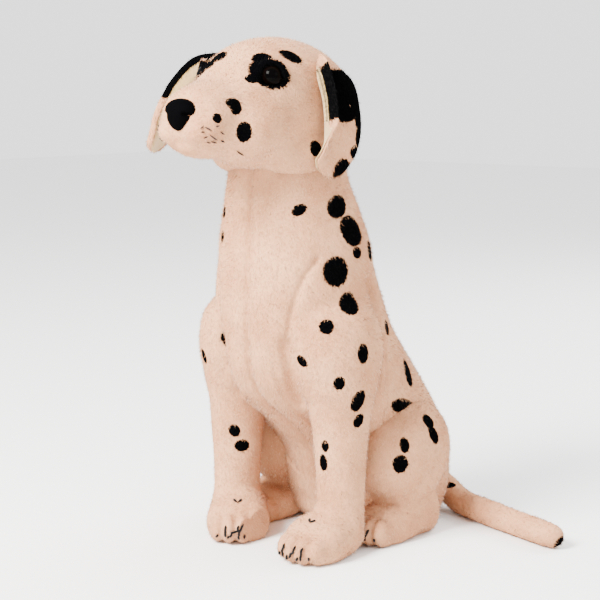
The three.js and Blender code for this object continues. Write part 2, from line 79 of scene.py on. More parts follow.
# ---------------------------------------------------------------------------
# Shader maths
# ---------------------------------------------------------------------------
class Wire:
    """A shader socket whose operators add Math nodes."""

    def __init__(self, tree: bpy.types.NodeTree, socket: bpy.types.NodeSocket) -> None:
        """Keeps the tree and the output socket."""
        self.tree = tree
        self.socket = socket

    def maths(self, operation: str, *operands: "Wire | float") -> "Wire":
        """Adds one Math node.

        Args:
            operation: The node's operation.
            operands: Its inputs in order, links or numbers.

        Returns:
            The node's value.
        """
        node = self.tree.nodes.new("ShaderNodeMath")
        node.operation = operation
        for place, operand in zip(node.inputs, operands):
            if isinstance(operand, Wire):
                self.tree.links.new(operand.socket, place)
            else:
                place.default_value = operand
        return Wire(self.tree, node.outputs[0])

    def __add__(self, other: "Wire | float") -> "Wire":
        """Sum."""
        return self.maths("ADD", self, other)

    __radd__ = __add__

    def __sub__(self, other: "Wire | float") -> "Wire":
        """Difference."""
        return self.maths("SUBTRACT", self, other)

    def __rsub__(self, other: float) -> "Wire":
        """Difference from a number."""
        return self.maths("SUBTRACT", other, self)

    def __mul__(self, other: "Wire | float") -> "Wire":
        """Product."""
        return self.maths("MULTIPLY", self, other)

    __rmul__ = __mul__

    def least(self, other: "Wire | float") -> "Wire":
        """The smaller of two values."""
        return self.maths("MINIMUM", self, other)

    def step(self, low: float, high: float) -> "Wire":
        """Eases from 0 at low to 1 at high.

        Args:
            low: Where the result is 0.
            high: Where the result is 1.

        Returns:
            The eased value.
        """
        node = self.tree.nodes.new("ShaderNodeMapRange")
        node.interpolation_type = "SMOOTHSTEP"
        self.tree.links.new(self.socket, node.inputs["Value"])
        node.inputs["From Min"].default_value = low
        node.inputs["From Max"].default_value = high
        return Wire(self.tree, node.outputs["Result"])


class Recipe:
    """One material's node tree, with a method that makes every other node."""

    def __init__(self, name: str, unbent: bool = False) -> None:
        """Starts a material with an empty tree and a principled surface.

        Args:
            name: The material's name.
            unbent: Whether patterns follow the piece where it bends.
        """
        self.unbent = unbent
        self.material = bpy.data.materials.new(name)
        self.material.use_nodes = True
        self.tree = self.material.node_tree
        self.tree.nodes.clear()
        self.surface = self.tree.nodes.new("ShaderNodeBsdfPrincipled")
        output = self.tree.nodes.new("ShaderNodeOutputMaterial")
        self.tree.links.new(self.surface.outputs[0], output.inputs["Surface"])

    def node(
        self,
        kind: str,
        settings: dict[str, object],
        sockets: dict[str | int, object],
        out: str | int = 0,
    ) -> Wire:
        """Makes a node.

        Args:
            kind: The node's type name without its ShaderNode prefix.
            settings: Properties set first.
            sockets: Values or wires for the inputs.
            out: The output to hand back.

        Returns:
            The chosen output.
        """
        made = self.tree.nodes.new("ShaderNode" + kind)
        for key, value in settings.items():
            setattr(made, key, value)
        for key, value in sockets.items():
            if isinstance(value, Wire):
                self.tree.links.new(value.socket, made.inputs[key])
            else:
                made.inputs[key].default_value = value
        return Wire(self.tree, made.outputs[out])

    def place(self) -> Wire:
        """The point on the piece, in metres."""
        if self.unbent:
            return self.node("Attribute", {"attribute_name": UNBENT}, {}, "Vector")
        return self.node("TexCoord", {}, {}, "Object")

    def noise(self, scale: float, detail: float) -> Wire:
        """Noise from 0 to 1.

        Args:
            scale: Features per metre.
            detail: Octaves.

        Returns:
            The noise value.
        """
        sockets = {"Vector": self.place(), "Scale": scale, "Detail": detail}
        return self.node("TexNoise", {}, sockets)

    def stretched(self, scale: Triple) -> Wire:
        """The piece's point with each axis scaled."""
        return self.node("Mapping", {}, {"Vector": self.place(), "Scale": scale})

    def mix(self, factor: Wire | float, first: object, second: object) -> Wire:
        """Mixes two colours."""
        sockets = {"Factor": factor, 6: _colour(first), 7: _colour(second)}
        return self.node("Mix", {"data_type": "RGBA"}, sockets, 2)

    def bump(self, height: Wire, distance: float, strength: float) -> None:
        """Raises the surface's grain.

        Args:
            height: The grain's height from 0 to 1.
            distance: What a height of 1 stands for, in metres.
            strength: How much of it shows.
        """
        sockets = {"Height": height, "Distance": distance, "Strength": strength}
        normal = self.node("Bump", {}, sockets)
        self.tree.links.new(normal.socket, self.surface.inputs["Normal"])

    def set(self, **values: object) -> None:
        """Sets the surface's sockets, an underscore standing for a space."""
        for key, value in values.items():
            socket = self.surface.inputs[key.replace("_", " ")]
            if isinstance(value, Wire):
                self.tree.links.new(value.socket, socket)
            else:
                socket.default_value = _colour(value)


def _colour(value: object) -> object:
    """Gives a colour its alpha."""
    if isinstance(value, tuple) and len(value) == 3:
        return (*value, 1.0)
    return value


# ---------------------------------------------------------------------------
# Colours and finishes
# ---------------------------------------------------------------------------
class Tone(Enum):
    """The colours of the cloth, the fittings and the thread."""

    CREAM = (0.54, 0.28, 0.15)
    PEACH = (0.41, 0.185, 0.092)
    PALE = (0.64, 0.39, 0.235)
    WHISKER = (0.05, 0.03, 0.025)
    INK = (0.0008, 0.0008, 0.001)
    LINING = (0.43, 0.295, 0.11)
    THREAD = (0.006, 0.005, 0.005)
    EYE = (0.0005, 0.0004, 0.0004)
    EYE_RING = (0.0016, 0.0008, 0.0005)
    LINING_SHADE = (0.42, 0.29, 0.14)
    WASHER = (0.70, 0.70, 0.68)
    WASHER_SHADE = (0.6, 0.6, 0.58)


@dataclass(frozen=True)
class Spot:
    """One patch of black pile.

    Attributes:
        at: Its middle, in metres.
        turn: The rotation from the world to its own axes.
        reach: Its half sizes along those axes.
    """

    at: Vector
    turn: Euler
    reach: Vector


@dataclass(frozen=True)
class PlushFinish:
    """Short dyed pile with black spots."""

    name: str
    spots: tuple[Spot, ...]
    ragged: float = 0.42

    def make(self) -> bpy.types.Material:
        """Builds the material."""
        recipe = Recipe(self.name, unbent=True)
        clouds = recipe.noise(26.0, 3.0)
        flecks = recipe.noise(900.0, 2.0)
        cloth = recipe.mix(clouds.step(0.3, 0.75), Tone.CREAM.value, Tone.PEACH.value)
        cloth = recipe.mix(flecks.step(0.45, 0.8) * 0.35, cloth, Tone.PALE.value)
        cloth = recipe.mix(self.black(recipe), cloth, Tone.INK.value)
        tufts = recipe.noise(420.0, 3.0)
        fibre = recipe.node(
            "TexNoise", {}, {"Vector": recipe.stretched((1.0, 1.0, 0.35)), "Scale": 1900.0}
        )
        recipe.bump(tufts * 0.7 + fibre * 0.3, 0.0016, 0.55)
        recipe.set(Base_Color=cloth, Roughness=0.95, Specular_IOR_Level=0.0)
        return recipe.material

    def black(self, recipe: Recipe) -> Wire:
        """How black the pile is, from 0 to 1.

        Args:
            recipe: The material being built.

        Returns:
            The mask of all the spots, with ragged edges.
        """
        here = recipe.place()
        nearest: Wire | None = None
        for spot in self.spots:
            shape = {"Location": spot.at, "Rotation": spot.turn, "Scale": spot.reach}
            inside = recipe.node("Mapping", {"vector_type": "TEXTURE"}, {"Vector": here, **shape})
            away = recipe.node("VectorMath", {"operation": "LENGTH"}, {0: inside}, 1)
            nearest = away if nearest is None else nearest.least(away)
        frayed = nearest + (recipe.noise(520.0, 3.0) - 0.5) * self.ragged
        return 1.0 - frayed.step(0.93, 1.03)


def spot_measure(spots: Sequence[Spot], points: np.ndarray) -> np.ndarray:
    """How far points are from the nearest spot.

    Args:
        spots: The black patches.
        points: Points in metres, one a row.

    Returns:
        For each point, its distance as a share of the nearest spot's reach.
    """
    nearest = np.full(len(points), 9.0)
    for spot in spots:
        turn = np.array(spot.turn.to_matrix())
        local = (points - np.array(spot.at)) @ turn / np.array(spot.reach)
        nearest = np.minimum(nearest, np.linalg.norm(local, axis=1))
    return nearest


@dataclass(frozen=True)
class PileFinish:
    """One colour of free pile ends."""

    name: str
    colour: Rgb
    sheen: float

    def make(self) -> bpy.types.Material:
        """Builds the material."""
        recipe = Recipe(self.name)
        recipe.set(Base_Color=self.colour, Roughness=0.9, Sheen_Weight=self.sheen)
        recipe.set(Sheen_Roughness=0.5, Specular_IOR_Level=0.06)
        return recipe.material


@dataclass(frozen=True)
class GlassEyeFinish:
    """Polished black eye with a deep brown ring."""

    name: str
    centre: Vector
    facing: Vector

    def make(self) -> bpy.types.Material:
        """Builds the material."""
        recipe = Recipe(self.name)
        offset = recipe.node(
            "VectorMath", {"operation": "SUBTRACT"}, {0: recipe.place(), 1: self.centre}
        )
        ahead = recipe.node("VectorMath", {"operation": "NORMALIZE"}, {0: offset})
        depth = recipe.node(
            "VectorMath", {"operation": "DOT_PRODUCT"}, {0: ahead, 1: self.facing}, 1
        )
        ring = depth.step(0.55, 0.75) * (1.0 - depth.step(0.82, 0.9))
        grain = recipe.noise(700.0, 2.0).step(0.3, 0.7)
        share = ring * (0.5 + grain * 0.5)
        colour = recipe.mix(share, Tone.EYE.value, Tone.EYE_RING.value)
        recipe.set(Base_Color=colour, Roughness=0.05, IOR=1.075)
        return recipe.material


@dataclass(frozen=True)
class GrainedFinish:
    """A plain material with a fine grain, for fittings, thread and lining.

    Attributes:
        name: The material's name.
        light: Its main colour.
        dark: The colour of its patches.
        grain: The grain's features per metre.
        depth: The grain's height in metres.
        rough: Its roughness.
        sheen: How much it glows at the edges.
    """

    name: str
    light: Tone
    dark: Tone
    grain: float
    depth: float
    rough: float
    sheen: float = 0.0

    def make(self) -> bpy.types.Material:
        """Builds the material."""
        recipe = Recipe(self.name)
        grain = recipe.noise(self.grain, 3.0)
        patches = recipe.noise(self.grain / 14.0, 2.0)
        colour = recipe.mix(patches.step(0.3, 0.75), self.light.value, self.dark.value)
        recipe.bump(grain, self.depth, 0.6)
        recipe.set(Base_Color=colour, Roughness=self.rough, Sheen_Weight=self.sheen)
        recipe.set(Specular_IOR_Level=0.004)
        return recipe.material


# ---------------------------------------------------------------------------
# Solid forms on a grid of distances
# ---------------------------------------------------------------------------
Coordinates = tuple[np.ndarray, np.ndarray, np.ndarray]


@dataclass
class Clay:
    """A soft form kept as distances to its surface, in millimetres, negative inside.

    Attributes:
        low: The grid's lowest corner.
        high: The grid's highest corner.
        pitch: The grid's spacing.
    """

    low: Triple
    high: Triple
    pitch: float
    values: np.ndarray = field(init=False)

    def __post_init__(self) -> None:
        """Starts with nothing in the grid."""
        self.values = np.full([len(a) for a in self.axes()], 1000.0, np.float32)

    def axes(self) -> list[np.ndarray]:
        """The grid's coordinates along each axis."""
        return [
            np.arange(low, high, self.pitch, dtype=np.float32)
            for low, high in zip(self.low, self.high)
        ]

    def here(self) -> Coordinates:
        """The grid's coordinates, ready to broadcast."""
        x, y, z = self.axes()
        return x[:, None, None], y[None, :, None], z[None, None, :]

    def add(self, form: np.ndarray, blend: float = 0.0) -> None:
        """Joins a form on.

        Args:
            form: Its distances on this grid.
            blend: The width over which the two flow together.
        """
        if blend <= 0:
            self.values = np.minimum(self.values, form)
            return
        share = np.clip(0.5 + 0.5 * (form - self.values) / blend, 0, 1)
        self.values = form * (1 - share) + self.values * share - blend * share * (1 - share)

    def cut(self, form: np.ndarray, blend: float = 0.0) -> None:
        """Cuts a form away, with the same meaning of blend as in add."""
        self.values = -self.values
        self.add(form, blend)
        self.values = -self.values

    def groove(self, distance: np.ndarray, width: float, depth: float) -> None:
        """Presses a line into the surface.

        Args:
            distance: Each grid point's distance from the line.
            width: The line's half width.
            depth: How deep it goes.
        """
        self.values = self.values + depth * np.exp(-((distance / width) ** 2))

    def stand(self) -> None:
        """Cuts the form off flat at the floor."""
        self.values = np.maximum(self.values, FLOOR_CUT - self.here()[2])

    def mesh(self, name: str) -> bpy.types.Object:
        """The surface as a mesh of quads.

        Args:
            name: The new object's name.

        Returns:
            The object, in metres.
        """
        grid = openvdb.FloatGrid(background=1000.0)
        grid.copyFromArray(np.ascontiguousarray(self.values.astype(np.float32)))
        points, quads = grid.convertToQuads(0.0)
        points = in_frame(points * self.pitch + np.array(self.low))
        return new_object(name, points, facing_out(points, quads))


def in_frame(points: np.ndarray | Triple) -> np.ndarray:
    """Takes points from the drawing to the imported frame.

    Args:
        points: Points in millimetres about the floor below the neck.

    Returns:
        Points in metres about the middle of the seat.
    """
    return (np.asarray(points, float) - (0.0, SEAT_BACK, 0.0)) * MM


def facing_out(points: np.ndarray, quads: np.ndarray) -> np.ndarray:
    """Turns quads so that their faces point out.

    Args:
        points: The vertices.
        quads: Four vertex numbers a row.

    Returns:
        The quads, reversed if they faced in.
    """
    a, b, c, d = (points[quads[:, i]] for i in range(4))
    volume = np.einsum("ij,ij->", a, np.cross(b, c) + np.cross(c, d))
    return quads[:, ::-1] if volume < 0 else quads


def new_object(name: str, points: np.ndarray, faces: np.ndarray) -> bpy.types.Object:
    """Makes a smooth mesh object.

    Args:
        name: Its name.
        points: Vertices in metres.
        faces: Vertex numbers, one face a row.

    Returns:
        The object, linked to the scene.
    """
    mesh = bpy.data.meshes.new(name)
    sides = len(faces[0])
    mesh.vertices.add(len(points))
    mesh.vertices.foreach_set("co", np.asarray(points, np.float32).ravel())
    mesh.loops.add(len(faces) * sides)
    mesh.loops.foreach_set("vertex_index", np.asarray(faces, np.int32).ravel())
    mesh.polygons.add(len(faces))
    mesh.polygons.foreach_set("loop_start", np.arange(len(faces), dtype=np.int32) * sides)
    mesh.update(calc_edges=True)
    mesh.validate()
    mesh.polygons.foreach_set("use_smooth", np.ones(len(mesh.polygons), bool))
    piece = bpy.data.objects.new(name, mesh)
    bpy.context.scene.collection.objects.link(piece)
    return piece


def along_rows(rows: Rows, at: np.ndarray) -> list[np.ndarray]:
    """Reads a table of stations smoothly.

    Args:
        rows: Stations in order, the first number being where each stands.
        at: Where to read.

    Returns:
        One array for each remaining column.
    """
    table = np.array(rows, float)
    places = table[:, 0]
    slopes = np.gradient(table[:, 1:], places, axis=0)
    clipped = np.clip(at, places[0], places[-1])
    index = np.clip(np.searchsorted(places, clipped) - 1, 0, len(places) - 2)
    gap = places[index + 1] - places[index]
    t = (clipped - places[index]) / gap
    near, far = (1 + 2 * t) * (1 - t) ** 2, t * t * (3 - 2 * t)
    rise, fall = t * (1 - t) ** 2 * gap, t * t * (t - 1) * gap
    columns = []
    for k in range(table.shape[1] - 1):
        value, slope = table[:, k + 1], slopes[:, k]
        columns.append(
            near * value[index]
            + far * value[index + 1]
            + rise * slope[index]
            + fall * slope[index + 1]
        )
    return columns


def dome(distance: np.ndarray, length: float) -> np.ndarray:
    """How much of its width a form keeps near a rounded end."""
    if length <= 0:
        return np.ones_like(distance)
    rest = 1 - np.clip(distance / length, 0, 1)
    return np.sqrt(np.clip(1 - rest * rest, 1e-4, 1))


def loft(
    place: np.ndarray,
    across: np.ndarray,
    through: np.ndarray,
    rows: Rows,
    ends: tuple[float, float] = (0.0, 0.0),
    square: float = 2.0,
) -> np.ndarray:
    """Distances to a form of oval sections.

    Args:
        place: Coordinates along the form.
        across: Coordinates along the sections' first axis.
        through: Coordinates along their second axis.
        rows: Stations of (place, middle across, middle through, half across, half through).
        ends: The lengths over which the two ends round off.
        square: 2 for an ellipse, more for a fuller section.

    Returns:
        Distances in millimetres, negative inside.
    """
    middle_a, middle_t, half_a, half_t = along_rows(rows, place)
    first, last = rows[0][0], rows[-1][0]
    keep = dome(place - first, ends[0]) * dome(last - place, ends[1])
    u = across - middle_a
    v = through - middle_t
    away = np.sqrt(u * u + v * v) + 1e-6
    ratio = (np.abs(u / half_a) ** square + np.abs(v / half_t) ** square) ** (1 / square)
    radial = away - away / np.maximum(ratio, 1e-6) * keep
    return np.maximum(radial, np.maximum(first - place, place - last)).astype(np.float32)


def oval(here: Coordinates, centre: Triple, radii: Triple, turn: Triple = (0, 0, 0)) -> np.ndarray:
    """Distances to an ellipsoid.

    Args:
        here: Grid coordinates.
        centre: Its middle.
        radii: Its half sizes.
        turn: Its rotation about X, Y and Z, in degrees.

    Returns:
        Distances in millimetres, negative inside.
    """
    matrix = Euler([math.radians(a) for a in turn]).to_matrix().transposed()
    offsets = [axis - middle for axis, middle in zip(here, centre)]
    local = [sum(matrix[r][c] * offsets[c] for c in range(3)) for r in range(3)]
    ratio = np.sqrt(sum((p / r) ** 2 for p, r in zip(local, radii)))
    away = np.sqrt(sum(p * p for p in local)) + 1e-6
    return (away - away / np.maximum(ratio, 1e-6)).astype(np.float32)


def line_distance(here: Coordinates, points: Sequence[Triple]) -> np.ndarray:
    """Distances from a line of straight stretches.

    Args:
        here: Grid coordinates.
        points: The line's corners.

    Returns:
        Each grid point's distance from the nearest stretch.
    """
    best: np.ndarray | None = None
    for start, end in zip(points, points[1:]):
        step = np.subtract(end, start)
        offsets = [axis - s for axis, s in zip(here, start)]
        t = sum(o * s for o, s in zip(offsets, step)) / float(step @ step)
        t = np.clip(t, 0, 1)
        away = np.sqrt(sum((o - t * s) ** 2 for o, s in zip(offsets, step)))
        best = away if best is None else np.minimum(best, away)
    return best


def mirrored(points: Sequence[Triple], side: int) -> list[Triple]:
    """Points for one side of the body, given for the left side."""
    return [(side * x, y, z) for x, y, z in points]


# ---------------------------------------------------------------------------
# Pile
# ---------------------------------------------------------------------------
class Lay(Enum):
    """Which way the pile lies."""

    DOWN = (0.0, 0.0, -1.0)
    BACK = (0.0, 0.8, -0.6)
    OUT = (0.9, -0.2, -0.4)


@dataclass(frozen=True)
class Pile:
    """Free pile ends standing on a skin.

    Attributes:
        seed: Starts the random draws.
        count: How many stand on a square metre, in thousands.
        length: Their length in millimetres.
        width: Their width at the foot in millimetres.
        lean: How much they follow the lay.
        lay: The way they lie.
        root: How far their feet stand in the skin, in metres.
        bare: How far from a seam none grow, in metres.
    """

    seed: int
    count: float = 620.0
    length: float = 4.2
    width: float = 0.55
    lean: float = 1.1
    lay: Lay = Lay.DOWN
    root: float = 0.0006
    bare: float = 0.0017

    def grow(
        self,
        skin: bpy.types.Object,
        spots: Sequence[Spot],
        finishes: Sequence[bpy.types.Material],
        seams: np.ndarray | None = None,
    ) -> bpy.types.Object:
        """Grows the pile.

        Args:
            skin: The finished skin.
            spots: The black patches.
            finishes: Light, middle and warm pile, then black.
            seams: Points along seams, which stay bare.

        Returns:
            The pile as one mesh.
        """
        rng = np.random.default_rng(self.seed)
        points, normals = self._scatter(skin, rng)
        total = len(points)
        flow = np.array(self.lay.value)
        flow = flow - normals * (normals @ flow)[:, None]
        wild = rng.normal(0, 0.42, (total, 3))
        way = unit(normals * 0.62 + flow * self.lean + wild)
        sunk = np.clip(0.12 - np.einsum("ij,ij->i", way, normals), 0, 1)
        way = unit(way + normals * sunk[:, None])
        side = unit(np.cross(way, normals + rng.normal(0, 0.3, (total, 3))))
        length = self.length * MM * rng.uniform(0.6, 1.15, total)
        half = self.width * MM * 0.5 * rng.uniform(0.7, 1.2, total)
        foot = points - normals * self.root
        tip = foot + way * length[:, None]
        kept = tip[:, 2] > FLOOR_CLEAR
        if seams is not None:
            kept &= gap_from(foot, seams) > self.bare
        foot, tip, way, points, normals = (a[kept] for a in (foot, tip, way, points, normals))
        spread = side[kept] * half[kept][:, None]
        total = len(points)
        corners = np.stack([foot - spread, foot + spread, tip], 1)
        faces = np.arange(total * 3).reshape(total, 3)
        pile = new_object(skin.name + "_pile", corners.reshape(-1, 3), faces)
        for finish in finishes:
            pile.data.materials.append(finish)
        dark = spot_measure(spots, points) + rng.normal(0, 0.07, total) < 0.97
        shade = rng.choice(len(finishes) - 1, total, p=[0.3, 0.45, 0.25])
        index = np.where(dark, len(finishes) - 1, shade)
        pile.data.polygons.foreach_set("material_index", index.astype(np.int32))
        lit = unit(normals + way * 0.25 + rng.normal(0, 0.10, (total, 3)))
        pile.data.normals_split_custom_set_from_vertices(np.repeat(lit, 3, axis=0).tolist())
        return pile

    def _scatter(
        self, skin: bpy.types.Object, rng: np.random.Generator
    ) -> tuple[np.ndarray, np.ndarray]:
        """Draws feet evenly over a skin.

        Args:
            skin: The finished skin.
            rng: The random source.

        Returns:
            The feet and the skin's normals there.
        """
        mesh = skin.data
        mesh.calc_loop_triangles()
        co = read(mesh.vertices, "co")
        normals = read(mesh.vertex_normals, "vector")
        triangles = np.empty(len(mesh.loop_triangles) * 3, np.int32)
        mesh.loop_triangles.foreach_get("vertices", triangles)
        triangles = triangles.reshape(-1, 3)
        a, b, c = (co[triangles[:, i]] for i in range(3))
        area = np.linalg.norm(np.cross(b - a, c - a), axis=1) / 2
        wanted = int(area.sum() * self.count * 1000)
        chosen = rng.choice(len(triangles), wanted, p=area / area.sum())
        u, v = rng.random(wanted), rng.random(wanted)
        flip = u + v > 1
        u[flip], v[flip] = 1 - u[flip], 1 - v[flip]
        w = np.stack([1 - u - v, u, v], 1)[:, :, None]
        corners = triangles[chosen]
        return (co[corners] * w).sum(1), unit((normals[corners] * w).sum(1))


def unit(vectors: np.ndarray) -> np.ndarray:
    """Vectors scaled to a length of one."""
    return vectors / np.maximum(np.linalg.norm(vectors, axis=1, keepdims=True), 1e-9)


def read(items: bpy.types.bpy_prop_collection, what: str) -> np.ndarray:
    """Reads three numbers an item into rows."""
    values = np.empty(len(items) * 3, np.float32)
    items.foreach_get(what, values)
    return values.reshape(-1, 3).astype(float)


def move_to(piece: bpy.types.Object, places: np.ndarray) -> None:
    """Moves a piece's vertices, in metres."""
    piece.data.vertices.foreach_set("co", places.astype(np.float32).ravel())
    piece.data.update()


@dataclass
class Palette:
    """The finishes that several pieces share."""

    pile: list[bpy.types.Material] = field(default_factory=list)
    thread: bpy.types.Material | None = None
    whisker: bpy.types.Material | None = None

    def build(self) -> "Palette":
        """Makes the shared materials."""
        tones = {"pale": Tone.PALE, "cream": Tone.CREAM, "peach": Tone.PEACH, "black": Tone.INK}
        for name, tone in tones.items():
            sheen = 0.0 if tone is Tone.INK else 0.15
            self.pile.append(PileFinish("pile_" + name, tone.value, sheen).make())
        black = GrainedFinish("black_thread", Tone.THREAD, Tone.INK, 2500.0, 0.0003, 0.8, 0.2)
        brown = GrainedFinish("brown_thread", Tone.WHISKER, Tone.THREAD, 2500.0, 0.0002, 0.85, 0.1)
        self.thread, self.whisker = black.make(), brown.make()
        return self


def dress(piece: bpy.types.Object, finish: bpy.types.Material) -> bpy.types.Object:
    """Gives a finished piece its material and its slot, and stores its points as made."""
    stored = piece.data.attributes.new(UNBENT, "FLOAT_VECTOR", "POINT")
    places = read(piece.data.vertices, "co").astype(np.float32)
    stored.data.foreach_set("vector", places.ravel())
    piece.data.materials.clear()
    piece.data.materials.append(finish)
    return piece


def report(*pieces: bpy.types.Object) -> None:
    """Logs finished pieces."""
    for piece in pieces:
        LOG.info("%s: %d faces", piece.name, len(piece.data.polygons))


def ride(body: str, *pieces: bpy.types.Object) -> None:
    """Lets pieces ride on one body, and logs them."""
    for piece in pieces:
        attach(piece, body)
    report(*pieces)


def bend(still: str, moving: str, ends: Sequence[Triple], *pieces: bpy.types.Object) -> None:
    """Bakes each piece's placement into its mesh.

    Args:
        still: The body before the first end; not used.
        moving: The body past the second end; not used.
        ends: Two points in the drawing; not used.
        pieces: The pieces.
    """
    for piece in pieces:
        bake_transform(piece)


# ---------------------------------------------------------------------------
# Marks placed on a skin
# ---------------------------------------------------------------------------
@dataclass(frozen=True)
class Mark:
    """Where one black patch lies on a skin.

    Attributes:
        origin: A point inside the form, in millimetres.
        toward: The way out from it to the skin.
        size: The patch's width and height in millimetres.
        tilt: How far it leans, in degrees.
        depth: Its reach along the skin's normal, in millimetres.
    """

    origin: Triple
    toward: Triple
    size: tuple[float, float]
    tilt: float = 0.0
    depth: float = 12.0

    def place(self, tree: BVHTree) -> Spot:
        """Finds the patch on a skin.

        Args:
            tree: The skin's search tree.

        Returns:
            The patch.
        """
        start = Vector(in_frame(self.origin))
        way = Vector(self.toward).normalized()
        hit, normal, _, _ = tree.ray_cast(start, way)
        if hit is None:
            hit, normal, _, _ = tree.find_nearest(start + way * 0.1)
        if normal.dot(way) < 0:
            normal = -normal
        up = Vector((0, 0, 1)) if abs(normal.z) < 0.9 else Vector((0, -1, 0))
        side = up.cross(normal).normalized()
        rise = normal.cross(side)
        turn = Matrix((side, rise, normal)).transposed()
        turn = turn @ Matrix.Rotation(math.radians(self.tilt), 3, "Z")
        reach = Vector((self.size[0] / 2, self.size[1] / 2, self.depth)) * MM
        return Spot(hit, turn.to_euler(), reach)


def around(angle: float, height: float, width: float, tall: float, tilt: float = 0.0) -> Mark:
    """A mark on the trunk.

    Args:
        angle: Degrees from the dog's left side, with its face at -90.
        height: Millimetres above the floor.
        width: Its width.
        tall: Its height.
        tilt: Its lean in degrees.

    Returns:
        The mark.
    """
    middle = 20.0 if height > 200 else 20.0 + (200 - height) * 0.6
    turn = math.radians(angle)
    return Mark((0, middle, height), (math.cos(turn), math.sin(turn), 0), (width, tall), tilt, 16.0)


def skin_tree(piece: bpy.types.Object) -> BVHTree:
    """A search tree over a piece's mesh."""
    return BVHTree.FromPolygons(
        [v.co.copy() for v in piece.data.vertices], [tuple(p.vertices) for p in piece.data.polygons]
    )


def laid(piece: bpy.types.Object, lines: Sequence[Sequence[Triple]]) -> np.ndarray:
    """Lays lines on a skin.

    Args:
        piece: The skin.
        lines: Corner points in the drawing, near the skin.

    Returns:
        Points on the skin every 2 mm along the lines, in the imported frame.
    """
    tree = skin_tree(piece)
    course = [p for line in lines for p in in_frame(resample(np.array(line, float), LINE_STEP))]
    return np.array([tree.find_nearest(Vector(point))[0] for point in course])


def gap_from(points: np.ndarray, course: np.ndarray) -> np.ndarray:
    """How far each point is from a laid line, in metres."""
    nearest = np.full(len(points), 1.0)
    for corner in course:
        nearest = np.minimum(nearest, np.linalg.norm(points - corner, axis=1))
    return nearest


def press(piece: bpy.types.Object, course: np.ndarray, width: float, depth: float) -> None:
    """Sinks a soft crease into a skin.

    Args:
        piece: The skin.
        course: Points of the crease on the skin.
        width: The crease's half width in millimetres.
        depth: Its depth in millimetres.
    """
    places = read(piece.data.vertices, "co")
    share = np.exp(-((gap_from(places, course) / (width * MM)) ** 2))
    sunk = read(piece.data.vertices, "normal") * (share * depth * MM)[:, None]
    move_to(piece, places - sunk)


def cover(
    skin: bpy.types.Object,
    cloth: str,
    nodes: Sequence[str],
    marks: Sequence[Mark],
    pile: Pile,
    palette: Palette,
    seams: np.ndarray | None = None,
) -> tuple[BVHTree, bpy.types.Object]:
    """Gives a stuffed skin its spotted cloth, its place in the frame and its pile.

    Args:
        skin: The stuffed skin.
        cloth: The name of its material.
        nodes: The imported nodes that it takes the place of.
        marks: Its black patches.
        pile: How its pile grows.
        palette: The shared finishes.
        seams: Points along seams, which stay bare.

    Returns:
        The skin's search tree and the pile.
    """
    tree = skin_tree(skin)
    spots = tuple(mark.place(tree) for mark in marks)
    dress(skin, PlushFinish(cloth, spots).make())
    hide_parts(*nodes)
    fur = pile.grow(skin, spots, palette.pile, seams)
    return tree, fur


# ---------------------------------------------------------------------------
# Stuffing
# ---------------------------------------------------------------------------
CLOTH = {
    "quality": 6,
    "mass": 0.25,
    "tension_stiffness": 12.0,
    "compression_stiffness": 6.0,
    "bending_stiffness": 0.4,
    "air_damping": 4.0,
    "shrink_min": -0.03,
    "use_pressure": True,
    "pin_stiffness": 1.0,
}


